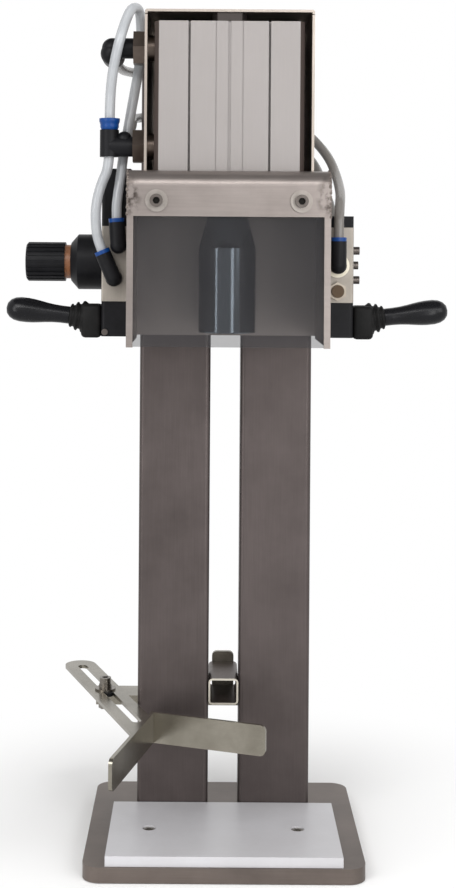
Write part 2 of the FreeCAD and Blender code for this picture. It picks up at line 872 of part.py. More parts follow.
def bell():
    """Bell, crimping throat, sprung ejector and its magnet."""
    groove = f"({BELL_BOTTOM} + bell_groove_rise)"
    line = f"({BELL_BOTTOM} + bell_line_rise)"
    keep(turned("bell_shell", [
        ("rod_spigot_radius", BELL_TOP),
        ("bell_neck_radius", BELL_TOP),
        ("bell_radius", f"{BELL_TOP} - bell_cone"),
        ("bell_radius", f"{groove} + bell_groove_height"),
        ("bell_radius - bell_groove_depth", f"{groove} + bell_groove_height"),
        ("bell_radius - bell_groove_depth", groove),
        ("bell_radius", groove),
        ("bell_radius", f"{line} + bell_line_height"),
        ("bell_radius - bell_line_depth", f"{line} + bell_line_height"),
        ("bell_radius - bell_line_depth", line),
        ("bell_radius", line),
        ("bell_radius", f"{BELL_BOTTOM} + bell_groove_depth"),
        ("bell_radius - bell_groove_depth", BELL_BOTTOM),
        ("throat_outer_radius", BELL_BOTTOM),
        ("throat_outer_radius", CHAMBER_FLOOR),
        (CHAMBER_RADIUS, CHAMBER_FLOOR),
        (CHAMBER_RADIUS, CHAMBER_ROOF),
        ("0", CHAMBER_ROOF),
        ("0", f"{BELL_BOTTOM} + bell_spigot_floor"),
        ("rod_spigot_radius", f"{BELL_BOTTOM} + bell_spigot_floor"),
    ]), "capping_bell")
    guide = "ejector_radius + running_clearance"
    keep(turned("throat_ring", [
        ("throat_mouth_radius", BELL_BOTTOM),
        ("throat_outer_radius", BELL_BOTTOM),
        ("throat_outer_radius", CHAMBER_FLOOR),
        (guide, CHAMBER_FLOOR),
        (guide, f"{BELL_BOTTOM} + throat_depth"),
        ("throat_radius", f"{BELL_BOTTOM} + throat_depth"),
        ("throat_radius", f"{BELL_BOTTOM} + throat_mouth_height"),
    ]), "crimp_throat")
    face = f"({BELL_BOTTOM} + ejector_face_rise)"
    keep(turned("ejector_plunger", [
        ("magnet_radius", face),
        ("ejector_radius", face),
        ("ejector_radius", CHAMBER_FLOOR),
        ("ejector_flange_radius", CHAMBER_FLOOR),
        ("ejector_flange_radius", f"{CHAMBER_FLOOR} + ejector_flange"),
        ("0", f"{CHAMBER_FLOOR} + ejector_flange"),
        ("0", f"{face} + magnet_height"),
        ("magnet_radius", f"{face} + magnet_height"),
    ]), "ejector")
    keep(rod("magnet_disc", "Z", ("0", "0", face), "magnet_radius", "magnet_height"), "crown_magnet")


def ejector_spring():
    """A coil of short straight steps, from the ejector's flange to the chamber's roof."""
    bottom = (
        value("housing_top") - value("sheet_gauge") - value("profile_top_gap")
        - value("profile_length") - value("bell_top_gap") - value("bell_length")
    )
    low = bottom + value("bell_chamber_rise") + value("ejector_flange")
    high = bottom + value("bell_chamber_top")
    radius = value("spring_radius")
    wire = value("spring_wire_radius")
    steps = int(value("spring_steps"))
    count = steps * int(value("spring_turns"))
    corners = [
        Vector(
            radius * math.cos(2 * math.pi * step / steps),
            radius * math.sin(2 * math.pi * step / steps),
            low + wire + (high - low - 2 * wire) * step / count,
        )
        for step in range(count + 1)
    ]
    section = Part.Wire(Part.makeCircle(wire, corners[0], corners[1] - corners[0]))
    item = doc.addObject("Part::Feature", "spring_wire")
    item.Shape = Part.makePolygon(corners).makePipeShell([section], True, False, MITRED)
    keep(item, "ejector_spring")


def hood():
    """Folded sheet box, open below, with a bent top front edge and narrow front lips."""
    def shell(name, inset, bend):
        body = new_body(name)
        sketch = new_sketch(body, f"{name}_outline", "XY_Plane", "hood_bottom" if inset == "0" else "0")
        rectangle(
            sketch, f"-hood_half_width + {inset}", f"-hood_front + {inset}",
            f"hood_half_width - {inset}", f"post_front - {inset}",
        )
        height = "hood_top - hood_bottom" if inset == "0" else f"hood_top - {inset}"
        pad(body, f"{name}_pad", sketch, height)
        fillet(
            body, f"{name}_bend", bend,
            lambda edge: runs(edge, "x") and middle(edge).y < 0
            and middle(edge).z > value("hood_bottom") + 1,
        )
        return body

    outer = shell("hood_outer", "0", "hood_bend")
    inner = shell("hood_inner", "sheet_gauge", "hood_bend - sheet_gauge")
    opening = block(
        "hood_front_opening",
        (f"-{HOOD_INNER} + hood_lip - sheet_gauge", "-hood_front", "hood_bottom"),
        (f"2 * ({HOOD_INNER} - hood_lip + sheet_gauge)", "sheet_gauge",
         "hood_flange_bottom - hood_bottom"),
    )
    roof_half = f"({PROFILE_HALF} + hood_top_clearance)"
    roof = block(
        "hood_roof_opening", (f"-{roof_half}", f"-{roof_half}", "hood_top - sheet_gauge"),
        (f"2 * {roof_half}", f"{roof_half} + {BACK_INNER}", "sheet_gauge"),
    )
    back = block(
        "hood_back_step", (f"-{HOOD_INNER}", BACK_INNER, "hood_bottom"),
        (f"2 * {HOOD_INNER}", "sheet_gauge", "hood_back_rise"),
    )
    holes = [
        rod(f"hood_screw_hole_{side}", "Y",
            (f"{sign}guard_screw_place", "-hood_front", "guard_screw_level"),
            "guard_screw_radius + hole_clearance", "sheet_gauge")
        for side, sign, _ in sides()
    ]
    for row, level in (("low", BACK_SCREW_LOW), ("high", BACK_SCREW_HIGH)):
        holes.append(rod(
            f"hood_back_hole_{row}", "Y", ("0", BACK_INNER, level),
            "back_screw_radius + hole_clearance", "sheet_gauge",
        ))
    keep(cut("hood_shell", outer, inner, opening, roof, back, *holes), "hood")


def guard():
    """Clear front guard, held by two screws with raised washers and nuts."""
    front = "(-hood_front + sheet_gauge)"
    half = f"({HOOD_INNER} - guard_side_gap)"
    plate = block(
        "guard_plate", (f"-{half}", front, "hood_bottom + guard_rise"),
        (f"2 * {half}", "guard_thickness", "guard_top - hood_bottom - guard_rise"),
    )
    holes = []
    screws = []
    washers = []
    seat = "(-hood_front - guard_washer_thickness)"
    nut_start = f"({front} + guard_thickness)"
    reach = "(guard_washer_thickness + sheet_gauge + guard_thickness + guard_nut)"
    for side, sign, _ in sides():
        x = f"{sign}guard_screw_place"
        z = "guard_screw_level"
        holes.append(rod(
            f"guard_hole_{side}", "Y", (x, front, z), "guard_screw_radius + hole_clearance",
            "guard_thickness",
        ))
        shank = rod(f"guard_shank_{side}", "Y", (x, seat, z), "guard_screw_radius", reach)
        head = rod(
            f"guard_head_{side}", "Y", (x, f"{seat} - guard_screw_head", z),
            "guard_screw_head_radius", "guard_screw_head",
        )
        socket = hexagon(
            f"guard_socket_{side}", "Y", (x, f"{seat} - guard_screw_head", z),
            "guard_socket_across", "guard_socket_depth",
        )
        screws.append(cut(f"guard_screw_{side}", join(f"guard_solid_{side}", shank, head), socket))
        nut = hexagon(
            f"guard_nut_hex_{side}", "Y", (x, nut_start, z), "guard_nut_across", "guard_nut",
        )
        thread = rod(
            f"guard_nut_thread_{side}", "Y", (x, nut_start, z), "guard_screw_radius", "guard_nut",
        )
        screws.append(cut(f"guard_nut_{side}", nut, thread))
        washers.append(ring(
            f"guard_washer_{side}", "Y", (x, seat, z), "guard_washer_radius",
            "guard_screw_radius", "guard_washer_thickness",
        ))
    keep(cut("guard_drilled", plate, *holes), "clear_guard")
    keep(group("guard_screw_set", *screws), "guard_screws")
    keep(group("guard_washer_set", *washers), "guard_washers")


def valves():
    """Valve bodies, end caps, lever heads, pins, rubber boots and hand levers."""
    pins = []
    for side, sign, way in sides():
        low = f"-{VALVE_OUTER}" if way < 0 else "hood_half_width"
        cap_height = f"{side}_cap_height"

        def valve_block(name, bottom, height, radius):
            raw = block(
                f"{side}_{name}_block", (low, "-valve_front", bottom),
                ("valve_width", VALVE_DEPTH, height),
            )
            return soften(f"{side}_{name}_rounded", raw, radius, lambda edge: runs(edge, "z"))

        keep(
            valve_block("valve", "valve_bottom", "valve_top - valve_bottom", "valve_corner"),
            f"{side}_valve_body",
        )
        keep(valve_block("cap", "valve_top", cap_height, "cap_corner"), f"{side}_valve_cap")

        head = valve_block("head", HEAD_BOTTOM, "head_drop", "head_corner")
        pivot = (f"{sign}pivot_place", "pivot_back", "pivot_level")
        mouth = f"-{VALVE_OUTER}" if way < 0 else f"{VALVE_OUTER} - head_socket_depth"
        socket = block(
            f"{side}_head_socket",
            (mouth, "pivot_back - head_socket_width / 2", "pivot_level - head_socket_height / 2"),
            ("head_socket_depth", "head_socket_width", "head_socket_height"),
        )
        hole = rod(
            f"{side}_pin_hole", "Y", (pivot[0], "-valve_front", pivot[2]), "pivot_radius",
            VALVE_DEPTH,
        )
        keep(cut(f"{side}_head_drilled", head, socket, hole), f"{side}_lever_head")
        pins.append(rod(
            f"{side}_pin", "Y", (pivot[0], "-valve_front", pivot[2]), "pivot_radius", VALVE_DEPTH,
        ))

        tilt = Rotation(Vector(0, 1, 0), -value("lever_tilt"))
        turn = tilt if way > 0 else HALF_TURN * tilt
        half_tongue = "lever_tongue / 2"
        pieces = [
            rod(f"{side}_tongue", "Y", ("0", f"-{half_tongue}", "0"), "lever_tongue_radius",
                "lever_tongue"),
            rod(f"{side}_neck", "X", ("0", "0", "0"), "lever_neck_radius", "lever_grip_start"),
            cone(f"{side}_grip", "X", ("lever_grip_start", "0", "0"), "lever_grip_radius",
                 "lever_grip_middle_radius", "lever_grip_middle - lever_grip_start"),
            cone(f"{side}_swell", "X", ("lever_grip_middle", "0", "0"),
                 "lever_grip_middle_radius", "lever_swell_radius",
                 "lever_bulb_place - lever_grip_middle"),
            ball(f"{side}_bulb", ("lever_bulb_place", "0", "0"), "lever_bulb_radius"),
        ]
        bore = rod(
            f"{side}_lever_bore", "Y", ("0", f"-{half_tongue} - 2", "0"),
            "pivot_radius + running_clearance", "lever_tongue + 4",
        )
        lever = cut(f"{side}_lever", join(f"{side}_lever_solid", *pieces), bore)
        keep(place_built(lever, pivot, turn), f"{side}_hand_lever")

        start = "(valve_width + hood_half_width - pivot_place)"
        raw = block(
            f"{side}_boot_block", (start, "-boot_block_height / 2", "-boot_block_height / 2"),
            ("boot_block_length", "boot_block_height", "boot_block_height"),
        )
        rounded = soften(
            f"{side}_boot_rounded", raw, "boot_block_corner", lambda edge: runs(edge, "x"),
        )
        folds = []
        for fold in range(3):
            place = f"{start} + boot_block_length - boot_fold_sink + {fold} * boot_step"
            folds.append(cone(
                f"{side}_boot_fold_{fold}", "X", (place, "0", "0"),
                f"boot_ridge_radius - {fold} * boot_ridge_taper",
                f"boot_valley_radius - {fold} * boot_valley_taper", "boot_step",
            ))
        bellows = place_built(join(f"{side}_boot_folds", *folds), ("0", "0", "0"), tilt)
        hollow = rod(
            f"{side}_boot_bore", "X", (start, "0", "0"), "boot_bore",
            "boot_block_length - boot_wall",
        )
        mouth_hole = place_built(
            rod(f"{side}_boot_mouth", "X", ("0", "0", "0"), "lever_neck_radius + running_clearance",
                "lever_grip_start"),
            ("0", "0", "0"), tilt * TURNS["X"],
        )
        boot = cut(f"{side}_boot", join(f"{side}_boot_solid", rounded, bellows), hollow, mouth_hole)
        keep(place_built(boot, pivot, Rotation() if way > 0 else HALF_TURN), f"{side}_lever_boot")
    keep(group("pin_pair", *pins), "lever_pins")


COLLARS = []


def fitting(name, place, leg, floor, rotation=Rotation()):
    """A push-in elbow on a face: its base points at the viewer and its leg stands up."""
    axis_y = "-fitting_standoff"
    base = rod(f"{name}_base", "Y", ("0", axis_y, "0"), "fitting_base_radius", "fitting_standoff")
    corner = ball(f"{name}_corner", ("0", axis_y, "0"), "fitting_radius")
    stand = rod(f"{name}_leg", "Z", ("0", axis_y, "0"), "fitting_radius", leg)
    bore = rod(f"{name}_tube_bore", "Z", ("0", axis_y, floor), TUBE_BORE, leg)
    made = cut(f"{name}_elbow", join(f"{name}_solid", base, corner, stand), bore)
    collar = ring(
        f"{name}_collar", "Z", ("0", axis_y, leg), "collar_radius", TUBE_BORE, "collar_height",
    )
    COLLARS.append(place_built(collar, place, rotation))
    return place_built(made, place, rotation)


def fittings():
    up = Vector(0, 1, 0)
    front = "-valve_front"
    elbows = [
        fitting("right_front", ("right_base_place", front, "right_base_level"), "right_leg",
                "right_bore_floor"),
        fitting("right_rear", ("right_base_place", "valve_back", "right_base_level"), "right_leg",
                "right_bore_floor", HALF_TURN),
        fitting("left_upper", ("-upper_base_place", front, "upper_base_level"), "upper_leg",
                "upper_bore_floor", Rotation(up, -value("upper_lean"))),
        fitting("left_lower", ("-lower_base_place", front, "lower_base_level"), "lower_leg",
                "lower_bore_floor", Rotation(up, -value("lower_lean"))),
    ]
    top = "(regulator_level + regulator_side / 2)"
    x = "-(hood_half_width + regulator_length / 2 - regulator_leg_offset)"
    stand = rod("regulator_leg_rod", "Z", (x, "regulator_back", top), "fitting_radius", "regulator_leg")
    bore = rod(
        "regulator_leg_bore", "Z", (x, "regulator_back", f"{top} + regulator_bore_floor"),
        TUBE_BORE, "regulator_leg",
    )
    elbows.append(cut("regulator_fitting", stand, bore))
    COLLARS.append(ring(
        "regulator_collar", "Z", (x, "regulator_back", f"{top} + regulator_leg"),
        "collar_radius", TUBE_BORE, "collar_height",
    ))
    keep(group("elbow_set", *elbows), "push_in_elbows")
    keep(ring(
        "fitting_ring", "Y", ("right_base_place", "-valve_front - ring_thickness", "right_base_level"),
        "ring_outer_radius", "fitting_base_radius", "ring_thickness",
    ), "sealing_ring")
    hexed = hexagon(
        "silencer_nut", "Y", ("right_base_place", "-valve_front - silencer_hex", "silencer_level"),
        "silencer_across", "silencer_hex", HEX_FLATS_UP,
    )
    core = rod(
        "silencer_plug", "Y",
        ("right_base_place", "-valve_front - silencer_hex - silencer_core", "silencer_level"),
        "silencer_core_radius", "silencer_core",
    )
    keep(join("silencer", hexed, core), "right_silencer")
    studs = [
        rod(f"stud_{row}", "X",
            (VALVE_OUTER, "pivot_back", f"stud_low_level + {row} * stud_pitch"),
            "stud_radius", f"stud_length - {row % 2}")
        for row in range(3)
    ]
    studs.append(rod(
        "bleed_stud", "Y",
        ("-bleed_stud_place", "-valve_front - bleed_stud_length", "bleed_stud_level"),
        "bleed_stud_radius", "bleed_stud_length",
    ))
    keep(group("stud_set", *studs), "valve_studs")


def ports():
    """Hex port bodies, the upper elbow, the lower double tee and every release collar."""
    hexes = []
    for name, level in (("upper", PORT_UPPER), ("lower", PORT_LOWER)):
        outer = "-housing_half_width - port_hex_length"
        body = hexagon(
            f"{name}_port_hex", "X", (outer, "-port_front", level), "port_hex_across",
            "port_hex_length", HEX_FLATS_UP,
        )
        shank = rod(
            f"{name}_port_shank", "X", ("-housing_half_width", "-port_front", level),
            "port_shank_radius", f"housing_half_width - {PROFILE_HALF} + port_depth",
        )
        way = rod(
            f"{name}_port_way", "X", ("-housing_half_width", "-port_front", level),
            "air_way_radius", f"housing_half_width - {PROFILE_HALF} + port_depth",
        )
        hexes.append(cut(f"{name}_port", join(f"{name}_port_solid", body, shank), way))
    keep(group("port_pair", *hexes), "port_hexes")

    face = "(housing_half_width + port_hex_length)"
    arm = rod(
        "elbow_arm", "X", ("-elbow_end", "-port_front", PORT_UPPER), "elbow_radius",
        f"elbow_end - {face}",
    )
    heel = ball("elbow_heel", ("-elbow_end", "-port_front", ELBOW_LEG_LEVEL), "elbow_leg_radius")
    cheek = ball("elbow_cheek", ("-elbow_end", "-port_front", PORT_UPPER), "elbow_radius")
    leg = rod(
        "elbow_leg_rod", "Y", ("-elbow_end", "-port_front", ELBOW_LEG_LEVEL), "elbow_leg_radius",
        "port_front - elbow_leg_front",
    )
    bore = rod(
        "elbow_leg_bore", "Y", ("-elbow_end", "-elbow_bore_floor", ELBOW_LEG_LEVEL), TUBE_BORE,
        "elbow_bore_floor - elbow_leg_front",
    )
    keep(cut("elbow_fitting", join("elbow_solid", arm, heel, cheek, leg), bore), "upper_elbow")
    COLLARS.append(ring(
        "elbow_collar", "Y", ("-elbow_end", "-elbow_leg_front", ELBOW_LEG_LEVEL), "collar_radius",
        TUBE_BORE, "collar_height",
    ))

    run = "-tee_run_place"
    body = rod(
        "tee_body", "X", (run, "-port_front", PORT_LOWER), "elbow_radius", f"tee_run_place - {face}",
    )
    stand = rod(
        "tee_run", "Z", (run, "-port_front", TEE_BOTTOM), "tee_run_radius",
        "tee_run_rise + tee_run_drop",
    )
    boss = rod(
        "tee_boss", "Z", ("-tee_boss_place", "-port_front", PORT_LOWER), "tee_boss_radius",
        "tee_boss_rise",
    )
    dome = ball("tee_dome", ("-tee_boss_place", "-port_front", TEE_BOSS_TOP), "tee_boss_radius")
    low_bore = rod(
        "tee_low_bore", "Z", (run, "-port_front", TEE_BOTTOM), TUBE_BORE,
        "tee_run_drop + tee_web_rise",
    )
    high_bore = rod(
        "tee_high_bore", "Z", (run, "-port_front", f"{TEE_WEB} + tee_web"), TUBE_BORE,
        "tee_run_rise - tee_web_rise - tee_web",
    )
    keep(cut("tee_fitting", join("tee_solid", body, stand, boss, dome), low_bore, high_bore),
         "double_tee")
    flared = turned("tee_collar", [
        (TUBE_BORE, "0"),
        ("big_collar_foot_radius", "0"),
        ("big_collar_radius", "big_collar_height / 4"),
        ("big_collar_radius", "big_collar_height / 2"),
        ("big_collar_lip_radius", "big_collar_height * 3 / 4"),
        ("big_collar_lip_radius", "big_collar_height - running_clearance"),
        ("big_collar_radius", "big_collar_height"),
        (TUBE_BORE, "big_collar_height"),
    ])
    COLLARS.append(put(flared, run, "-port_front", TEE_TOP))
    keep(group("collar_set", *COLLARS), "release_collars")


def regulator():
    """Pressure regulator lying on its side, with a push-and-turn knob."""
    place = ("0", "regulator_back", "regulator_level")
    half = "regulator_side / 2"
    raw = block(
        "regulator_block",
        ("-(hood_half_width + regulator_length)", f"regulator_back - {half}",
         f"regulator_level - {half}"),
        ("regulator_length", "regulator_side", "regulator_side"),
    )
    rounded = soften("regulator_rounded", raw, "regulator_corner", lambda edge: runs(edge, "x"))
    port = rod(
        "regulator_port", "Y",
        ("-(hood_half_width + regulator_length / 2)",
         f"regulator_back + {half} - regulator_port_depth", "regulator_level"),
        "regulator_port_radius", "regulator_port_depth",
    )
    keep(cut("regulator_casting", rounded, port), "regulator_body")
    seat = "(hood_half_width + regulator_length)"
    bore = "(stem_radius + running_clearance)"
    bonnet = turned("bonnet_turned", [
        ("0", f"-{seat}"),
        ("bonnet_radius", f"-{seat}"),
        ("bonnet_radius", f"-{BONNET_END}"),
        ("bonnet_nose_radius", f"-{NOSE_END}"),
        (bore, f"-{NOSE_END}"),
        (bore, "-stem_inner_end"),
        ("0", "-stem_inner_end"),
    ], along="X")
    keep(put(bonnet, *place), "regulator_bonnet")
    keep(ring(
        "lock_ring", "X", (f"-{KNOB_START}", place[1], place[2]), "lock_ring_radius",
        "lock_ring_bore", "lock_ring_length",
    ), "regulator_lock_ring")
    keep(rod(
        "stem_rod", "X", ("-stem_outer_end", place[1], place[2]), "stem_radius",
        "stem_outer_end - stem_inner_end",
    ), "regulator_stem")
    cavity = f"({KNOB_START} + knob_cavity_depth)"
    end = f"({KNOB_START} + knob_length)"
    knob = turned("knob_turned", [
        ("knob_cavity_radius", f"-{KNOB_START}"),
        ("knob_radius", f"-{KNOB_START}"),
        ("knob_radius", f"-{end} + knob_edge"),
        ("knob_radius - knob_edge", f"-{end}"),
        ("0", f"-{end}"),
        ("0", f"-{KNOB_START} - knob_bore_end"),
        (bore, f"-{KNOB_START} - knob_bore_end"),
        (bore, f"-{cavity}"),
        ("knob_cavity_radius", f"-{cavity}"),
    ], along="X")
    grooves = new_sketch(knob, "knob_grooves", "YZ_Plane", f"-{KNOB_START}")
    rectangle(
        grooves, "-knob_groove_width / 2", "knob_radius - knob_groove_depth",
        "knob_groove_width / 2", "knob_radius + 1",
    )
    made = pocket(knob, "knob_groove", grooves, "knob_length")
    repeat(knob, "knob_groove_ring", made, grooves, 24)
    keep(put(knob, *place), "regulator_knob")


def guide():
    """Bottle guide: slider, crossbar, slotted arm, V plate, block, bolt and washers."""
    half = "(post_gap / 2 - slider_side_clearance)"
    slider = block(
        "slider_block", (f"-{half}", "post_front", "slider_bottom"),
        (f"2 * {half}", "slider_length", "slider_height"),
    )
    rounded = soften("slider_rounded", slider, "slider_corner", lambda edge: runs(edge, "y"))
    hollow = block(
        "slider_hollow", (f"-{half} + slider_wall", "post_front", "slider_bottom + slider_wall"),
        (f"2 * ({half} - slider_wall)", "slider_length", "slider_height - 2 * slider_wall"),
    )
    inner = soften("slider_inner", hollow, "guide_washer", lambda edge: runs(edge, "y"))
    keep(cut("slider_tube", rounded, inner), "guide_slider")

    bottom = "(crossbar_top - crossbar_thickness)"
    bar = block(
        "crossbar_block", ("-crossbar_left", "crossbar_front", bottom),
        ("crossbar_left + crossbar_right", "crossbar_depth", "crossbar_thickness"),
    )
    tab = block(
        "tab_block", ("-tab_width / 2", "post_front + slider_length", "crossbar_top - 1"),
        ("tab_width", "tab_thickness", "tab_top - crossbar_top + 1"),
    )
    tab_rounded = soften(
        "tab_rounded", tab, "tab_corner",
        lambda edge: runs(edge, "y") and middle(edge).z > value("tab_top") - 1,
    )
    hole = rod(
        "crossbar_hole", "Z", (BOLT_X, BOLT_Y, bottom), "guide_bolt_radius + running_clearance",
        "crossbar_thickness",
    )
    keep(cut("crossbar_drilled", join("crossbar_solid", bar, tab_rounded), hole), "guide_crossbar")

    turn = Rotation(Vector(0, 0, 1), value("arm_turn"))
    arm_place = ("-arm_left", "arm_back", "0")
    blank = block(
        "arm_blank", ("-arm_near_end", "-arm_width / 2", "crossbar_top"),
        ("arm_near_end + arm_far_end", "arm_width", "arm_thickness"),
    )
    tip = rod("arm_tip", "Z", ("arm_far_end", "0", "crossbar_top"), "arm_width / 2", "arm_thickness")
    slot = block(
        "slot_middle", ("-slot_near_end", "-slot_width / 2", "crossbar_top"),
        ("slot_near_end + slot_far_end", "slot_width", "arm_thickness"),
    )
    ends = [
        rod(f"slot_{name}_end", "Z", (place, "0", "crossbar_top"), "slot_width / 2", "arm_thickness")
        for name, place in (("near", "-slot_near_end"), ("far", "slot_far_end"))
    ]
    arm = cut("arm_slotted", join("arm_solid", blank, tip), slot, *ends)
    place_built(arm, arm_place, turn)
    inside = block(
        "vee_inside", ("-arm_width * 2", "-vee_thickness / 2", "0"),
        ("vee_left_wing * 2", "vee_left_wing", "crossbar_top * 2"),
    )
    zone = place_built(
        group("vee_zone", inside), ("-vee_left", "vee_back", "0"),
        Rotation(Vector(0, 0, 1), -value("vee_left_turn")),
    )
    keep(cut("arm_trimmed", arm, zone), "guide_arm")

    body = new_body("vee_body")
    sketch = new_sketch(body, "vee_outline", "XY_Plane", f"{ARM_TOP} - vee_height")
    across = "vee_thickness / 2"
    miter = f"{across} / sin((vee_left_turn - vee_right_turn) / 2)"
    bisector = "((vee_left_turn + vee_right_turn) / 2)"

    def wing(turn_name, length, side):
        return (
            f"-vee_left + {length} * cos({turn_name}) {side} {across} * sin({turn_name})",
            f"vee_back - {length} * sin({turn_name}) {side} {across} * cos({turn_name})",
        )

    polygon(sketch, [
        (f"-vee_left - {miter} * cos{bisector}", f"vee_back + {miter} * sin{bisector}"),
        wing("vee_right_turn", "vee_right_wing", "+"),
        wing("vee_right_turn", "vee_right_wing", "-"),
        (f"-vee_left + {miter} * cos{bisector}", f"vee_back - {miter} * sin{bisector}"),
        wing("vee_left_turn", "vee_left_wing", "+"),
        wing("vee_left_turn", "vee_left_wing", "-"),
    ])
    pad(body, "vee_pad", sketch, "vee_height")
    thickness = value("vee_thickness")
    fillet(
        body, "vee_ends", "vee_corner",
        lambda edge: not runs(edge, "z") and abs(edge.Length - thickness) < SAME_LENGTH,
    )
    keep(body, "v_guide")

    slug = block(
        "guide_slug", ("bolt_along - guide_block_length / 2 + guide_block_width / 2",
                       "-guide_block_width / 2", "crossbar_top"),
        ("guide_block_length - guide_block_width", "guide_block_width", "arm_thickness"),
    )
    noses = [
        rod(f"guide_nose_{name}", "Z",
            (f"bolt_along {sign} (guide_block_length - guide_block_width) / 2", "0", "crossbar_top"),
            "guide_block_width / 2", "arm_thickness")
        for name, sign in (("near", "-"), ("far", "+"))
    ]
    bore = rod("guide_slug_bore", "Z", ("bolt_along", "0", "crossbar_top"), "guide_bolt_radius",
               "arm_thickness")
    slug_cut = cut("guide_slug_drilled", join("guide_slug_solid", slug, *noses), bore)
    keep(place_built(slug_cut, arm_place, turn), "guide_block")

    washer_seat = ARM_TOP
    spring_seat = f"({ARM_TOP} + guide_washer)"
    head_seat = f"({spring_seat} + spring_washer)"
    nut_bottom = f"({bottom} - guide_nut)"
    nut = hexagon("guide_nut_hex", "Z", (BOLT_X, BOLT_Y, nut_bottom), "guide_nut_across", "guide_nut")
    thread = rod("guide_nut_thread", "Z", (BOLT_X, BOLT_Y, nut_bottom), "guide_bolt_radius", "guide_nut")
    keep(group(
        "guide_fastener_set",
        ring("guide_flat_washer", "Z", (BOLT_X, BOLT_Y, washer_seat), "guide_washer_radius",
             "guide_bolt_radius", "guide_washer"),
        ring("guide_spring_washer", "Z", (BOLT_X, BOLT_Y, spring_seat), "spring_washer_radius",
             "guide_bolt_radius", "spring_washer"),
        cut("guide_nut_cut", nut, thread),
    ), "guide_fasteners")
    shank = rod(
        "guide_bolt_shank", "Z", (BOLT_X, BOLT_Y, nut_bottom), "guide_bolt_radius",
        f"{head_seat} - {nut_bottom}",
    )
    head = rod(
        "guide_bolt_top", "Z", (BOLT_X, BOLT_Y, head_seat), "guide_bolt_head_radius",
        "guide_bolt_head",
    )
    socket = hexagon(
        "guide_bolt_socket", "Z", (BOLT_X, BOLT_Y, f"{head_seat} + guide_bolt_head / 2"),
        "guide_bolt_head_radius", "guide_bolt_head / 2",
    )
    keep(cut("guide_bolt_cut", join("guide_bolt_solid", shank, head), socket), "guide_bolt")


# Air tubes: (X, Y, Z) points, each between straight runs that an arc joins.
TUBES = {
    "loop_tube": [
        (-93.6, -36, 573), (-93.6, -36, 601), (-91.5, -44.5, 622.5), (-86.6, -52.5, 644.5),
        (-81.5, -47, 664), (-77, -33, 678), (-71.3, -20, 679), (-70.1, -13, 664),
        (-70.4, -12.5, 640),
        (-75.5, -14, 611), (-80.5, -19.5, 580), (-83.5, -22.5, 561), (-85, -24.5, 547),
        (-87, -27.5, 532), (-88.5, -29, 517.4), (-86.99, -29, 496.98),
    ],
    "left_tube": [
        (-93.6, -36, 570), (-93.6, -36, 552), (-100, -35.6, 538.5), (-104.3, -34, 521),
        (-104.2, -30.5, 504), (-101.96, -29, 492), (-94.78, -29, 475.5),
    ],
    "right_front_tube": [
        (-92, -30, 641), (-92, -2, 641), (-91, 21, 639.5), (-89, 46, 638), (-84.5, 78, 640),
        (-76, 101, 641), (-52, 106, 638.5), (-18, 107, 630), (15, 107, 620), (45, 106, 607),
        (68, 102, 592), (80, 92, 579.5), (88.5, 72, 565), (92, 46, 549), (92, 18, 538.5),
        (91, -2, 531.5), (88.8, -21.5, 523), (87.5, -29, 507), (87.5, -29, 486),
    ],
    "right_rear_tube": [
        (-88, 38, 506), (-88, 38, 526), (-87.5, 32, 547), (-87, 27, 562), (-83.5, 33, 580),
        (-80, 54, 592), (-81.5, 82, 600), (-75, 103, 603), (-52, 106, 605), (-12, 107, 604),
        (22, 107, 597), (49, 106, 586), (66, 104, 575), (76, 94, 563.5), (80.5, 69, 549),
        (83, 48, 535), (86.3, 34.5, 523), (87.5, 25, 507), (87.5, 25, 486),
    ],
}
BEND_SHARE = 0.45


def tube_path(points):
    """A wire of straight runs with tangent arcs at the inner points."""
    corners = [Vector(*point) for point in points]
    edges = []
    here = corners[0]
    for before, corner, after in zip(corners, corners[1:], corners[2:]):
        back = (before - corner).normalize()
        onward = (after - corner).normalize()
        reach = BEND_SHARE * min((before - corner).Length, (after - corner).Length)
        start = corner + back * reach
        end = corner + onward * reach
        half = back.getAngle(onward) / 2
        radius = reach * math.tan(half)
        inward = (back + onward).normalize()
        middle_point = corner + inward * (radius / math.sin(half) - radius)
        edges.append(Part.LineSegment(here, start).toShape())
        edges.append(Part.Arc(start, middle_point, end).toShape())
        here = end
    edges.append(Part.LineSegment(here, corners[-1]).toShape())
    return Part.Wire(edges)


def tubes():
    """Plastic air tubes, swept round along their paths."""
    for node, points in TUBES.items():
        path = tube_path(points)
        start = Vector(*points[0])
        heading = Vector(*points[1]) - start
        outer = Part.Wire(Part.makeCircle(value("tube_radius"), start, heading))
        solid = path.makePipeShell([outer], True, False)
        item = doc.addObject("Part::Feature", f"{node}_sweep")
        item.Shape = solid
        keep(item, node)
        print(node, "length", round(path.Length), "volume share",
              round(solid.Volume / (path.Length * math.pi * value("tube_radius") ** 2), 3))


base_plate()
bottle_rest_plate()
rest_plate_screws()
posts()
cylinder_housing()
top_spacer()
cylinder_body()
cylinder_inside()
bell()
ejector_spring()
hood()
guard()
valves()
fittings()
ports()
regulator()
guide()
tubes()
doc.recompute()

for item in NODES:
    bad = [state for state in item.State if state in ("Invalid", "Error")]
    if bad or item.Shape.isNull() or not item.Shape.isValid():
        raise RuntimeError(f"{item.Label} is not a sound shape: {item.State}")
    box = item.Shape.BoundBox
    print(
        item.Label, len(item.Shape.Solids), round(item.Shape.Volume),
        [round(v, 1) for v in (box.XMin, box.XMax, box.YMin, box.YMax, box.ZMin, box.ZMax)],
    )
    item.Shape.exportStep(f"parts/{item.Label}.step")
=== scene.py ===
"""Dressed scene of the bench crown capper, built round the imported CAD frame.

Lengths are metres in the row frame: +Z up along the capping axis, -Y towards the operator.
"""

import logging
import math
from dataclasses import dataclass, field
from enum import Enum

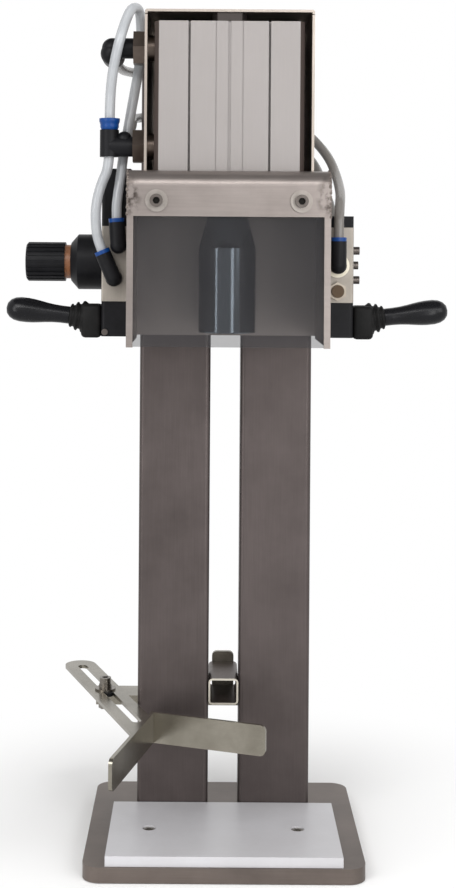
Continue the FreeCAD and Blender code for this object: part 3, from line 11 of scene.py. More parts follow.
import bmesh
import bpy
from mathutils import Matrix, Vector


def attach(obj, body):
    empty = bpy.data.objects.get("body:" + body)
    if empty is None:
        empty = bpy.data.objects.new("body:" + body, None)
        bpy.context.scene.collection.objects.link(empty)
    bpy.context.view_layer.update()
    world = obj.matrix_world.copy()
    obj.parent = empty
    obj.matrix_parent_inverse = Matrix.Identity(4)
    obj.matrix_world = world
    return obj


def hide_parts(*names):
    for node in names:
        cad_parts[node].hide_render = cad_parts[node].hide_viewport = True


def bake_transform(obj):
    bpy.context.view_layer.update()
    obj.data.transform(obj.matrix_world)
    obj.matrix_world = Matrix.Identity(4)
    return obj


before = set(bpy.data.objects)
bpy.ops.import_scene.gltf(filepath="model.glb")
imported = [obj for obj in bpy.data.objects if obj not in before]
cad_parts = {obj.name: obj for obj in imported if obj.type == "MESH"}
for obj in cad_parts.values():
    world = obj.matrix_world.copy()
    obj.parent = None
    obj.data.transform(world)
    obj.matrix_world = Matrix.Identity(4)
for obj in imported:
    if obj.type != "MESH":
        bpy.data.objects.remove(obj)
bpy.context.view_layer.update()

LOG = logging.getLogger("crown_capper")
MM = 0.001
Point = tuple[float, float, float]
Colour = tuple[float, float, float]
Key = str | int
Value = float | tuple[float, ...] | Vector

COAT_ROUGHNESS = 0.15
BLOTCH_DETAIL = 4.0
BLOTCH_RANGE = (0.42, 0.6)
SPIN_STEPS = 40
MERGE = 0.01


class Side(Enum):
    """The operator's left or right hand, as the sign of X."""

    LEFT = -1
    RIGHT = 1


class Grain(Enum):
    """Direction of the fine lines that rolling or grinding leaves."""

    UPRIGHT = (220.0, 220.0, 7.0)
    LEVEL = (7.0, 220.0, 220.0)
    NONE = (60.0, 60.0, 60.0)


def metres(point: Point) -> Vector:
    """Turn a point in millimetres to metres.

    Args:
        point: X, Y and Z in millimetres.

    Returns:
        The same point in metres.
    """
    return Vector(point) * MM


def fill(node: bpy.types.Node, values: dict[Key, Value]) -> None:
    """Set a node's inputs.

    Args:
        node: The node.
        values: Each input's name or place, and its value.
    """
    for key, value in values.items():
        node.inputs[key].default_value = value


class Wiring:
    """The nodes and links of one shader tree, with the steps that repeat."""

    def __init__(self, tree: bpy.types.NodeTree) -> None:
        """Take hold of a tree.

        Args:
            tree: The tree.
        """
        self.nodes = tree.nodes
        self.link = tree.links.new

    def add(
        self, kind: str, values: dict[Key, Value] | None = None, **settings: object,
    ) -> bpy.types.Node:
        """Add a shader node.

        Args:
            kind: Its type, without the leading ShaderNode.
            values: Its inputs' values.
            settings: Its own properties, such as operation.

        Returns:
            The node.
        """
        node = self.nodes.new(f"ShaderNode{kind}")
        for name, setting in settings.items():
            setattr(node, name, setting)
        fill(node, values or {})
        return node

    def place(self) -> bpy.types.NodeSocket:
        """Give the shaded point in the object's own coordinates.

        Returns:
            The point's socket.
        """
        return self.add("TexCoord").outputs["Object"]

    def length(self, vector: bpy.types.NodeSocket) -> bpy.types.NodeSocket:
        """Measure a vector.

        Args:
            vector: The vector's socket.

        Returns:
            The length's socket.
        """
        node = self.add("VectorMath", operation="LENGTH")
        self.link(vector, node.inputs[0])
        return node.outputs["Value"]

    def combine(
        self, operation: str, first: bpy.types.NodeSocket, second: bpy.types.NodeSocket,
    ) -> bpy.types.NodeSocket:
        """Work out one value from two.

        Args:
            operation: The operation.
            first: The first value's socket.
            second: The second value's socket.

        Returns:
            The result's socket.
        """
        node = self.add("Math", operation=operation)
        self.link(first, node.inputs[0])
        self.link(second, node.inputs[1])
        return node.outputs["Value"]

    def ramp(
        self, value: bpy.types.NodeSocket, low: float, high: float, falling: bool = False,
        interpolation: str = "LINEAR",
    ) -> bpy.types.NodeSocket:
        """Take a value from 0 at one end of a range to 1 at the other.

        Args:
            value: The value's socket.
            low: Where the range starts.
            high: Where it ends.
            falling: True to go from 1 to 0.
            interpolation: How it passes between them.

        Returns:
            The result's socket.
        """
        ends = {
            "From Min": low, "From Max": high, "To Min": float(falling),
            "To Max": float(not falling),
        }
        node = self.add("MapRange", ends, interpolation_type=interpolation)
        self.link(value, node.inputs["Value"])
        return node.outputs["Result"]

    def mix_shaders(
        self, share: bpy.types.NodeSocket, first: bpy.types.NodeSocket,
        second: bpy.types.NodeSocket,
    ) -> bpy.types.NodeSocket:
        """Pass from one shader to another.

        Args:
            share: The socket of the second shader's share.
            first: The first shader's socket.
            second: The second shader's socket.

        Returns:
            The mixed shader's socket.
        """
        node = self.add("MixShader")
        self.link(share, node.inputs["Fac"])
        self.link(first, node.inputs[1])
        self.link(second, node.inputs[2])
        return node.outputs["Shader"]


@dataclass
class NodeGroups:
    """Shader node groups that several finishes share, each built once.

    Attributes:
        line_scale: Scale of the noise behind the fine lines.
        line_detail: Its octaves.
        line_gain: How much brighter a full swing of the lines is.
        cloud_detail: Octaves of the noise behind the marks.
        cloud_roughness: Weight of its finer octaves.
        cloud_range: The noise at which marks begin and are full.
    """

    line_scale: float = 4.0
    line_detail: float = 6.0
    line_gain: float = 2.0
    cloud_detail: float = 5.0
    cloud_roughness: float = 0.62
    cloud_range: tuple[float, float] = (0.38, 0.72)

    def __post_init__(self) -> None:
        """Build the groups."""
        self.grain = self._grain()
        self.stain = self._stain()

    @staticmethod
    def _group(
        name: str, inputs: dict[str, str], outputs: dict[str, str],
    ) -> tuple[bpy.types.NodeTree, bpy.types.Node, bpy.types.Node]:
        """Start a group with its sockets.

        Args:
            name: The group's name.
            inputs: Each input's name and kind.
            outputs: Each output's name and kind.

        Returns:
            The node tree, its input node and its output node.
        """
        tree = bpy.data.node_groups.new(name, "ShaderNodeTree")
        for way, sockets in (("INPUT", inputs), ("OUTPUT", outputs)):
            for label, kind in sockets.items():
                tree.interface.new_socket(label, in_out=way, socket_type=f"NodeSocket{kind}")
        return tree, tree.nodes.new("NodeGroupInput"), tree.nodes.new("NodeGroupOutput")

    def _grain(self) -> bpy.types.NodeTree:
        """Fine parallel lines of rolled or brushed metal.

        Returns:
            The group, which puts out a colour, a roughness and a height.
        """
        tree, source, result = self._group(
            "rolled_grain",
            {"Colour": "Color", "Stretch": "Vector", "Contrast": "Float", "Roughness": "Float"},
            {"Colour": "Color", "Roughness": "Float", "Height": "Float"},
        )
        wiring = Wiring(tree)
        mapping = wiring.add("Mapping")
        wiring.link(wiring.place(), mapping.inputs["Vector"])
        wiring.link(source.outputs["Stretch"], mapping.inputs["Scale"])
        noise = wiring.add("TexNoise", {"Scale": self.line_scale, "Detail": self.line_detail})
        wiring.link(mapping.outputs["Vector"], noise.inputs["Vector"])
        centred = wiring.add("Math", {1: 0.5}, operation="SUBTRACT")
        wiring.link(noise.outputs["Fac"], centred.inputs[0])
        swing = wiring.combine("MULTIPLY", centred.outputs["Value"], source.outputs["Contrast"])
        bright = wiring.add("Math", {1: self.line_gain, 2: 1.0}, operation="MULTIPLY_ADD")
        wiring.link(swing, bright.inputs[0])
        tint = wiring.add("VectorMath", operation="SCALE")
        wiring.link(source.outputs["Colour"], tint.inputs[0])
        wiring.link(bright.outputs["Value"], tint.inputs["Scale"])
        rough = wiring.combine("ADD", source.outputs["Roughness"], swing)
        wiring.link(tint.outputs["Vector"], result.inputs["Colour"])
        wiring.link(rough, result.inputs["Roughness"])
        wiring.link(noise.outputs["Fac"], result.inputs["Height"])
        return tree

    def _stain(self) -> bpy.types.NodeTree:
        """Soft clouds of handling marks, grease and uneven scale.

        Returns:
            The group, which puts out a colour.
        """
        tree, source, result = self._group(
            "handling_stain",
            {"Colour": "Color", "Stain": "Color", "Amount": "Float", "Scale": "Float"},
            {"Colour": "Color"},
        )
        wiring = Wiring(tree)
        cloud = wiring.add(
            "TexNoise", {"Detail": self.cloud_detail, "Roughness": self.cloud_roughness},
        )
        wiring.link(wiring.place(), cloud.inputs["Vector"])
        wiring.link(source.outputs["Scale"], cloud.inputs["Scale"])
        spread = wiring.ramp(cloud.outputs["Fac"], *self.cloud_range)
        mix = wiring.add("Mix", data_type="RGBA")
        wiring.link(
            wiring.combine("MULTIPLY", spread, source.outputs["Amount"]), mix.inputs["Factor"],
        )
        wiring.link(source.outputs["Colour"], mix.inputs["A"])
        wiring.link(source.outputs["Stain"], mix.inputs["B"])
        wiring.link(mix.outputs["Result"], result.inputs["Colour"])
        return tree


@dataclass(frozen=True)
class Patch:
    """A stretch of a surface that has another colour, in millimetres.

    Attributes:
        colour: Its linear colour.
        centre: The point that distances are measured from.
        across: Weights of X, Y and Z in the distance.
        reach: The distance at which it ends.
        soft: How far its edge fades.
        outside: True where it lies beyond the reach.
        cloud: How many blotches to the metre, or 0 for an even patch.
    """

    colour: Colour
    centre: Point = (0.0, 0.0, 0.0)
    across: Point = (1.0, 0.0, 0.0)
    reach: float = 50.0
    soft: float = 0.2
    outside: bool = True
    cloud: float = 0.0

    def mask(self, wiring: Wiring) -> bpy.types.NodeSocket:
        """Measure where the patch lies.

        Args:
            wiring: The material's nodes and links.

        Returns:
            A socket that is 1 on the patch.
        """
        place = wiring.place()
        offset = wiring.add("VectorMath", {1: metres(self.centre)}, operation="SUBTRACT")
        wiring.link(place, offset.inputs[0])
        weighed = wiring.add("VectorMath", {1: self.across}, operation="MULTIPLY")
        wiring.link(offset.outputs["Vector"], weighed.inputs[0])
        fade = wiring.ramp(
            wiring.length(weighed.outputs["Vector"]), (self.reach - self.soft) * MM,
            (self.reach + self.soft) * MM, falling=not self.outside,
        )
        if not self.cloud:
            return fade
        noise = wiring.add("TexNoise", {"Scale": self.cloud, "Detail": BLOTCH_DETAIL})
        wiring.link(place, noise.inputs["Vector"])
        return wiring.combine("MULTIPLY", fade, wiring.ramp(noise.outputs["Fac"], *BLOTCH_RANGE))


@dataclass(frozen=True)
class Finish:
    """One surface finish and the numbers that make it.

    Attributes:
        name: The material's name.
        colour: Linear base colour.
        stain: Linear colour of the marks over it.
        stain_amount: How far the marks cover.
        stain_scale: How many marks to the metre.
        grain: Direction of the fine lines.
        contrast: Strength of the lines.
        roughness: Middle roughness.
        metallic: 1 for bare metal.
        bump: Depth of the surface, in metres.
        alpha: 1 for a solid finish.
        coat: Weight of a clear coat.
        specular: Strength of the reflection, 0.5 for common plastics.
        patches: Stretches of another colour.
    """

    name: str
    colour: Colour
    stain: Colour
    stain_amount: float
    stain_scale: float
    grain: Grain
    contrast: float
    roughness: float
    metallic: float = 0.0
    bump: float = 0.00002
    alpha: float = 1.0
    coat: float = 0.0
    specular: float = 0.5
    patches: tuple[Patch, ...] = ()

    def material(self, groups: NodeGroups) -> bpy.types.Material:
        """Build the material.

        Args:
            groups: The shared node groups.

        Returns:
            The finished material.
        """
        material = bpy.data.materials.new(self.name)
        material.use_nodes = True
        wiring = Wiring(material.node_tree)
        shader = wiring.nodes["Principled BSDF"]
        lines: dict[Key, Value] = {
            "Colour": (*self.colour, 1.0), "Stretch": self.grain.value,
            "Contrast": self.contrast, "Roughness": self.roughness,
        }
        grain = wiring.add("Group", lines, node_tree=groups.grain)
        marks: dict[Key, Value] = {
            "Stain": (*self.stain, 1.0), "Amount": self.stain_amount, "Scale": self.stain_scale,
        }
        stain = wiring.add("Group", marks, node_tree=groups.stain)
        wiring.link(grain.outputs["Colour"], stain.inputs["Colour"])
        colour = stain.outputs["Colour"]
        for patch in self.patches:
            mix = wiring.add("Mix", {"B": (*patch.colour, 1.0)}, data_type="RGBA")
            wiring.link(patch.mask(wiring), mix.inputs["Factor"])
            wiring.link(colour, mix.inputs["A"])
            colour = mix.outputs["Result"]
        bump = wiring.add("Bump", {"Distance": self.bump})
        wiring.link(grain.outputs["Height"], bump.inputs["Height"])
        wiring.link(colour, shader.inputs["Base Color"])
        wiring.link(grain.outputs["Roughness"], shader.inputs["Roughness"])
        wiring.link(bump.outputs["Normal"], shader.inputs["Normal"])
        fill(shader, {
            "Metallic": self.metallic, "Alpha": self.alpha, "Coat Weight": self.coat,
            "Coat Roughness": COAT_ROUGHNESS, "Specular IOR Level": self.specular,
        })
        return material


STEEL_SHADE = (0.030, 0.023, 0.021)
POST_STEEL = Finish(
    "post_stainless", (0.088, 0.072, 0.069), stain=STEEL_SHADE, stain_amount=0.6, stain_scale=8.0,
    grain=Grain.UPRIGHT, contrast=0.16, roughness=0.42, metallic=0.7,
)
BASE_STEEL = Finish(
    "base_stainless", (0.155, 0.128, 0.113), stain=STEEL_SHADE, stain_amount=0.45,
    stain_scale=11.0, grain=Grain.LEVEL, contrast=0.14, roughness=0.42, metallic=0.7,
)
HOOD_STEEL = Finish(
    "hood_stainless", (0.27, 0.238, 0.222), stain=(0.10, 0.082, 0.074), stain_amount=0.35,
    stain_scale=14.0, grain=Grain.LEVEL, contrast=0.10, roughness=0.33, metallic=0.85,
    bump=0.000003,
    patches=tuple(
        Patch(
            colour=(0.06, 0.048, 0.042), centre=(side.value * 76.0, -76.0, 528.0),
            across=(1.0, 1.0, 0.6), reach=8.0, soft=3.0, outside=False, cloud=170.0,
        )
        for side in Side
    ),
)
HOUSING_STEEL = Finish(
    "housing_stainless", (0.44, 0.39, 0.345), stain=(0.24, 0.205, 0.18), stain_amount=0.35,
    stain_scale=10.0, grain=Grain.UPRIGHT, contrast=0.08, roughness=0.3, metallic=1.0,
)
GUIDE_STEEL = Finish(
    "guide_stainless", (0.27, 0.25, 0.21), stain=(0.11, 0.098, 0.075), stain_amount=0.6,
    stain_scale=26.0, grain=Grain.LEVEL, contrast=0.10, roughness=0.24, metallic=0.9, bump=0.0,
)
GUIDE_BOLT_STEEL = Finish(
    "guide_bolt_steel", (0.22, 0.20, 0.175), stain=(0.03, 0.026, 0.022), stain_amount=0.6,
    stain_scale=150.0, grain=Grain.NONE, contrast=0.1, roughness=0.28, metallic=0.95,
)
SLIDER_STEEL = Finish(
    "slider_stainless", (0.085, 0.065, 0.058), stain=STEEL_SHADE, stain_amount=0.5,
    stain_scale=30.0, grain=Grain.NONE, contrast=0.12, roughness=0.4, metallic=0.75,
    # Painted highlight: a thin cream band round the slider at Y 60 mm stands in for the light
    # caught on its edge there.
    patches=(
        Patch(
            colour=(0.62, 0.58, 0.50), centre=(0.0, 60.0, 0.0), across=(0.0, 1.0, 0.0), reach=0.5,
            soft=0.1, outside=False,
        ),
    ),
)
BARREL_ALUMINIUM = Finish(
    "barrel_anodised", (0.255, 0.236, 0.229), stain=(0.215, 0.198, 0.19), stain_amount=0.4,
    stain_scale=9.0, grain=Grain.UPRIGHT, contrast=0.05, roughness=0.45, metallic=0.2,
    bump=0.000005,
    # Painted shade: the barrel is darkened beyond 54.6 mm either side of its middle, standing in
    # for the dark reflections on its side chamfers.
    patches=(
        Patch(colour=(0.06, 0.045, 0.04), reach=54.6),
    ),
)
VALVE_ALUMINIUM = Finish(
    "valve_anodised", (0.30, 0.27, 0.235), stain=(0.15, 0.135, 0.115), stain_amount=0.4,
    stain_scale=40.0, grain=Grain.UPRIGHT, contrast=0.08, roughness=0.4, metallic=0.4,
)
BELL_STEEL = Finish(
    "bell_turned_steel", (0.15, 0.175, 0.20), stain=(0.10, 0.12, 0.14), stain_amount=0.25,
    stain_scale=20.0, grain=Grain.LEVEL, contrast=0.03, roughness=0.13, metallic=1.0, bump=0.0,
)
BRIGHT_STEEL = Finish(
    "fastener_steel", (0.42, 0.40, 0.37), stain=(0.12, 0.11, 0.09), stain_amount=0.35,
    stain_scale=60.0, grain=Grain.NONE, contrast=0.1, roughness=0.3, metallic=0.9,
)
WASHER_STEEL = Finish(
    "washer_steel", (0.34, 0.31, 0.285), stain=(0.14, 0.12, 0.105), stain_amount=0.4,
    stain_scale=90.0, grain=Grain.NONE, contrast=0.1, roughness=0.3, metallic=0.9,
)
SCREW_STEEL = Finish(
    "guard_screw_steel", (0.12, 0.104, 0.095), stain=(0.04, 0.032, 0.028), stain_amount=0.5,
    stain_scale=120.0, grain=Grain.NONE, contrast=0.1, roughness=0.34, metallic=0.85,
    # Painted shade: a near-black disc in each guard screw's head stands in for the shade inside
    # its socket.
    patches=tuple(
        Patch(
            colour=(0.008, 0.007, 0.006), centre=(side.value * 55.0, 0.0, 524.5),
            across=(1.0, 0.0, 1.0), reach=2.6, soft=0.2, outside=False,
        )
        for side in Side
    ),
)
SPACER_STEEL = Finish(
    "spacer_blackened", (0.035, 0.028, 0.025), stain=(0.015, 0.012, 0.011), stain_amount=0.5,
    stain_scale=60.0, grain=Grain.NONE, contrast=0.1, roughness=0.5, metallic=0.5,
)
CHROME = Finish(
    "rod_chrome", (0.66, 0.66, 0.67), stain=(0.5, 0.5, 0.5), stain_amount=0.15, stain_scale=20.0,
    grain=Grain.UPRIGHT, contrast=0.05, roughness=0.1, metallic=1.0, bump=0.0,
)
BRONZE = Finish(
    "bush_bronze", (0.30, 0.18, 0.09), stain=(0.16, 0.09, 0.05), stain_amount=0.4,
    stain_scale=60.0, grain=Grain.NONE, contrast=0.1, roughness=0.4, metallic=0.9,
)
SILENCER_BRONZE = Finish(
    "silencer_sintered", (0.34, 0.30, 0.25), stain=(0.16, 0.13, 0.10), stain_amount=0.4,
    stain_scale=120.0, grain=Grain.NONE, contrast=0.2, roughness=0.4, metallic=0.8,
    patches=(
        Patch(
            colour=(0.06, 0.04, 0.025), centre=(87.5, 0.0, 455.2), across=(1.0, 0.0, 1.0),
            reach=5.2, outside=False,
        ),
    ),
)
NICKEL = Finish(
    "port_nickel", (0.12, 0.095, 0.08), stain=(0.05, 0.037, 0.03), stain_amount=0.45,
    stain_scale=50.0, grain=Grain.NONE, contrast=0.12, roughness=0.32, metallic=0.85,
)
BLACK_PLASTIC = Finish(
    "moulded_black", (0.006, 0.006, 0.007), stain=(0.012, 0.012, 0.014), stain_amount=0.5,
    stain_scale=60.0, grain=Grain.NONE, contrast=0.2, roughness=0.42, specular=0.12,
)
LEVER_PLASTIC = Finish(
    "lever_black_gloss", (0.004, 0.004, 0.005), stain=(0.009, 0.009, 0.011), stain_amount=0.4,
    stain_scale=40.0, grain=Grain.NONE, contrast=0.15, roughness=0.28, specular=0.2,
)
BLACK_RUBBER = Finish(
    "boot_rubber", (0.005, 0.005, 0.005), stain=(0.013, 0.012, 0.012), stain_amount=0.5,
    stain_scale=80.0, grain=Grain.NONE, contrast=0.2, roughness=0.55, bump=0.00005, specular=0.12,
)
BLUE_PLASTIC = Finish(
    "collar_blue", (0.002, 0.042, 0.19), stain=(0.002, 0.028, 0.13), stain_amount=0.4,
    stain_scale=120.0, grain=Grain.NONE, contrast=0.1, roughness=0.35, specular=0.25,
)
ORANGE_PLASTIC = Finish(
    "lock_ring_orange", (0.20, 0.07, 0.02), stain=(0.07, 0.03, 0.012), stain_amount=0.5,
    stain_scale=60.0, grain=Grain.NONE, contrast=0.1, roughness=0.4,
)
WHITE_PLATE = Finish(
    "rest_plate_white", (0.52, 0.515, 0.535), stain=(0.42, 0.41, 0.42), stain_amount=0.45,
    stain_scale=16.0, grain=Grain.NONE, contrast=0.03, roughness=0.38, bump=0.000005,
)
CREAM_RING = Finish(
    "seal_cream", (0.80, 0.74, 0.60), stain=(0.60, 0.55, 0.44), stain_amount=0.3,
    stain_scale=90.0, grain=Grain.NONE, contrast=0.05, roughness=0.5,
)
TUBE_PLASTIC = Finish(
    "tube_polyurethane", (0.42, 0.435, 0.455), stain=(0.33, 0.345, 0.365), stain_amount=0.4,
    stain_scale=30.0, grain=Grain.NONE, contrast=0.05, roughness=0.25, alpha=0.78, coat=0.2,
    bump=0.0,
)
SMOKED_TUBE = Finish(
    "tube_smoked", (0.19, 0.175, 0.16), stain=(0.13, 0.12, 0.11), stain_amount=0.4,
    stain_scale=30.0, grain=Grain.NONE, contrast=0.05, roughness=0.25, alpha=0.82, coat=0.2,
    bump=0.0,
)
# Painted shade: the clear guard is given a dark colour and part opacity so that it darkens the
# hood's inside seen through it, standing in for the shade there.
GUARD_PLASTIC = Finish(
    "guard_acrylic", (0.03, 0.03, 0.034), stain=(0.05, 0.049, 0.05), stain_amount=0.5,
    stain_scale=9.0, grain=Grain.NONE, contrast=0.0, roughness=0.03, bump=0.0, alpha=0.34,
    specular=0.3,
)
WELD_STEEL = Finish(
    "weld_bead", (0.16, 0.135, 0.12), stain=(0.03, 0.022, 0.02), stain_amount=0.65,
    stain_scale=90.0, grain=Grain.NONE, contrast=0.3, roughness=0.4, metallic=0.85,
)

CAD_FINISHES: dict[str, Finish] = {
    "base_plate": BASE_STEEL,
    "bottle_rest_plate": WHITE_PLATE,
    "rest_plate_screws": BRIGHT_STEEL,
    "left_post": POST_STEEL,
    "right_post": POST_STEEL,
    "cylinder_housing": HOUSING_STEEL,
    "top_spacer": SPACER_STEEL,
    "cylinder_body": BARREL_ALUMINIUM,
    "cylinder_top_cap": BARREL_ALUMINIUM,
    "cylinder_bottom_cap": BARREL_ALUMINIUM,
    "cylinder_screws": BRIGHT_STEEL,
    "piston": BARREL_ALUMINIUM,
    "piston_seals": BLACK_RUBBER,
    "piston_rod": CHROME,
    "rod_bush": BRONZE,
    "capping_bell": BELL_STEEL,
    "crimp_throat": BELL_STEEL,
    "ejector": BRIGHT_STEEL,
    "crown_magnet": NICKEL,
    "hood": HOOD_STEEL,
    "clear_guard": GUARD_PLASTIC,
    "guard_screws": SCREW_STEEL,
    "guard_washers": WASHER_STEEL,
    "left_valve_body": VALVE_ALUMINIUM,
    "left_valve_cap": BLACK_PLASTIC,
    "left_lever_head": BLACK_PLASTIC,
    "right_valve_body": VALVE_ALUMINIUM,
    "right_valve_cap": BLACK_PLASTIC,
    "right_lever_head": BLACK_PLASTIC,
    "lever_pins": BLACK_PLASTIC,
    "push_in_elbows": BLACK_PLASTIC,
    "sealing_ring": CREAM_RING,
    "right_silencer": SILENCER_BRONZE,
    "valve_studs": SCREW_STEEL,
    "port_hexes": NICKEL,
    "upper_elbow": BLACK_PLASTIC,
    "double_tee": BLACK_PLASTIC,
    "release_collars": BLUE_PLASTIC,
    "regulator_body": BLACK_PLASTIC,
    "regulator_bonnet": BLACK_PLASTIC,
    "regulator_lock_ring": ORANGE_PLASTIC,
    "regulator_stem": BRIGHT_STEEL,
    "regulator_knob": BLACK_PLASTIC,
    "guide_slider": SLIDER_STEEL,
    "guide_crossbar": GUIDE_STEEL,
    "guide_arm": GUIDE_STEEL,
    "v_guide": GUIDE_STEEL,
    "guide_block": BLACK_PLASTIC,
    "guide_bolt": GUIDE_BOLT_STEEL,
    "guide_fasteners": GUIDE_BOLT_STEEL,
}


def face_rank(face: bmesh.types.BMFace, count: int) -> int:
    """Rank a face by its corners, so that a mesh keeps one order of faces from run to run.

    Args:
        face: The face.
        count: How many corners its mesh has.

    Returns:
        The rank.
    """
    first, second, third = sorted(vert.index for vert in face.verts)[:3]
    return (first * count + second) * count + third


class Workshop:
    """Keeps the materials and turns bmeshes into pieces."""

    def __init__(self) -> None:
        """Build the shared node groups."""
        self.groups = NodeGroups()
        self.made: dict[str, bpy.types.Material] = {}

    def finish(self, finish: Finish) -> bpy.types.Material:
        """Give a finish's material, built on first use.

        Args:
            finish: The finish.

        Returns:
            Its material.
        """
        if finish.name not in self.made:
            self.made[finish.name] = finish.material(self.groups)
        return self.made[finish.name]

    def piece(self, name: str, mesh: bmesh.types.BMesh, finish: Finish) -> bpy.types.Object:
        """Turn a bmesh to a smooth-shaded object.

        Args:
            name: The piece's name.
            mesh: Its bmesh, in metres, which is freed.
            finish: Its finish.

        Returns:
            The object.
        """
        mesh.verts.index_update()
        count = len(mesh.verts)
        mesh.faces.sort(key=lambda face: face_rank(face, count))
        data = bpy.data.meshes.new(name)
        mesh.to_mesh(data)
        mesh.free()
        for polygon in data.polygons:
            polygon.use_smooth = True
        data.materials.append(self.finish(finish))
        item = bpy.data.objects.new(name, data)
        bpy.context.scene.collection.objects.link(item)
        return item

    def dress_cad(self) -> None:
        """Give each CAD node that stays its finish."""
        for node, finish in CAD_FINISHES.items():
            item = bpy.data.objects[node]
            material = self.finish(finish)
            if item.material_slots:
                for slot in item.material_slots:
                    slot.material = material
            else:
                item.data.materials.append(material)


def spun(profile: list[tuple[float, float]]) -> bmesh.types.BMesh:
    """Turn a profile of (distance, radius) in millimetres round the X axis.

    Args:
        profile: The outline, which starts and ends on the axis.

    Returns:
        The closed mesh, in metres.
    """
    mesh = bmesh.new()
    corners = [mesh.verts.new(metres((distance, 0, radius))) for distance, radius in profile]
    edges = [mesh.edges.new(pair) for pair in zip(corners, corners[1:])]
    bmesh.ops.spin(
        mesh, geom=corners + edges, cent=(0, 0, 0), axis=(1, 0, 0), angle=math.tau,
        steps=SPIN_STEPS, use_merge=True, use_duplicate=False,
    )
    bmesh.ops.remove_doubles(mesh, verts=mesh.verts, dist=MERGE * MM)
    bmesh.ops.recalc_face_normals(mesh, faces=mesh.faces)
    return mesh


def rounded_box(mesh: bmesh.types.BMesh, low: Point, high: Point, radius: float) -> None:
    """Add a box with rounded edges to a bmesh.

    Args:
        mesh: The bmesh, in metres.
        low: The lowest corner, in millimetres.
        high: The highest corner, in millimetres.
        radius: The rounding, in millimetres.
    """
    first, last = metres(low), metres(high)
    place = Matrix.Translation((first + last) / 2) @ Matrix.Diagonal((*(last - first), 1.0))
    made = bmesh.ops.create_cube(mesh, size=1.0, matrix=place)
    edges = list(dict.fromkeys(edge for vert in made["verts"] for edge in vert.link_edges))
    bmesh.ops.bevel(
        mesh, geom=edges, offset=radius * MM, segments=3, profile=0.5, affect="EDGES", material=-1,
    )


@dataclass
class AirTubes:
    """Polyurethane air tubes, each a spline through its given points in millimetres."""

    diameter: float = 8.0
    order: int = 3
    facets: int = 6
    steps: int = 12
    routes: dict[str, list[Point]] = field(default_factory=lambda: {
        "loop_tube": [
            (-93.6, -36, 573), (-93.6, -36, 601), (-91.5, -44.5, 622.5), (-86.6, -52.5, 644.5),
            (-81.5, -47, 664), (-77, -33, 678), (-71.3, -20, 679), (-70.1, -13, 664),
            (-70.4, -12.5, 640), (-75.5, -14, 611), (-80.5, -19.5, 580), (-83.5, -22.5, 561),
            (-85, -24.5, 547), (-87, -27.5, 532), (-88.5, -29, 517.4), (-86.99, -29, 496.98),
        ],
        "left_tube": [
            (-93.6, -36, 570), (-93.6, -36, 552), (-100, -35.6, 538.5), (-104.3, -34, 521),
            (-104.2, -30.5, 504), (-101.96, -29, 492), (-94.78, -29, 475.5),
        ],
        "right_front_tube": [
            (-92, -30, 641), (-92, -2, 641), (-91, 21, 639.5), (-89, 46, 638), (-84.5, 78, 640),
            (-76, 101, 641), (-52, 106, 638.5), (-18, 107, 630), (15, 107, 620), (45, 106, 607),
            (68, 102, 592), (80, 92, 579.5), (88.5, 72, 565), (92, 46, 549), (92, 18, 538.5),
            (91, -2, 531.5), (88.8, -21.5, 523), (87.5, -29, 507), (87.5, -29, 486),
        ],
        "right_rear_tube": [
            (-88, 38, 506), (-88, 38, 526), (-87.5, 32, 547), (-87, 27, 562), (-83.5, 33, 580),
            (-80, 54, 592), (-81.5, 82, 600), (-75, 103, 603), (-52, 106, 605), (-12, 107, 604),
            (22, 107, 597), (49, 106, 586), (66, 104, 575), (76, 94, 563.5), (80.5, 69, 549),
            (83, 48, 535), (86.3, 34.5, 523), (87.5, 25, 507), (87.5, 25, 486),
        ],
    })
    lengths: dict[str, float] = field(default_factory=lambda: {
        "loop_tube": 312.0,
        "left_tube": 98.0,
        "right_front_tube": 471.0,
        "right_rear_tube": 424.0,
    })

    def build(self, shop: Workshop) -> None:
        """Lay each tube, in place of its CAD solid.

        Args:
            shop: The workshop.
        """
        for node, points in self.routes.items():
            curve = bpy.data.curves.new(f"{node}_line", "CURVE")
            curve.dimensions = "3D"
            curve.bevel_depth = self.diameter / 2 * MM
            curve.bevel_resolution = self.facets
            curve.resolution_u = self.steps
            curve.use_fill_caps = True
            spline = curve.splines.new("NURBS")
            spline.points.add(len(points) - 1)
            for control, point in zip(spline.points, points):
                control.co = (*metres(point), 1.0)
            spline.order_u = self.order
            spline.use_endpoint_u = True
            piece = bpy.data.objects.new(f"{node}_run", curve)
            bpy.context.scene.collection.objects.link(piece)
            finish = SMOKED_TUBE if node.startswith("right_") else TUBE_PLASTIC
            curve.materials.append(shop.finish(finish))
            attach(piece, "frame")
            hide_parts(node)
            LOG.info("%s laid", piece.name)


@dataclass
class EjectorSpring:
    """Round-wire ejector coil, wound at one fixed length, in millimetres."""

    radius: float = 10.9
    wire: float = 1.1
    low: float = 446.0
    high: float = 480.0
    turns: int = 5
    steps: int = 32
    facets: int = 10

    def build(self, shop: Workshop) -> None:
        """Wind the coil, in place of its CAD solid.

        Args:
            shop: The workshop.
        """
        mesh = bmesh.new()
        rise = self.high - self.low - 2 * self.wire
        start = metres((self.radius, 0, self.low + self.wire))
        upright = Matrix.Translation(start) @ Matrix.Rotation(math.pi / 2, 4, "X")
        made = bmesh.ops.create_circle(
            mesh, cap_ends=True, radius=self.wire * MM, segments=self.facets, matrix=upright,
        )
        count = self.turns * self.steps
        edges = dict.fromkeys(edge for vert in made["verts"] for edge in vert.link_edges)
        bmesh.ops.spin(
            mesh, geom=[*made["verts"], *edges, *mesh.faces], cent=(0, 0, 0), axis=(0, 0, 1),
            dvec=metres((0, 0, rise / count)), angle=math.tau * self.turns, steps=count,
            use_duplicate=False,
        )
        bmesh.ops.recalc_face_normals(mesh, faces=mesh.faces)
        piece = shop.piece("ejector_coil", mesh, BRIGHT_STEEL)
        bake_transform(piece)
        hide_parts("ejector_spring")
        LOG.info("%s wound", piece.name)


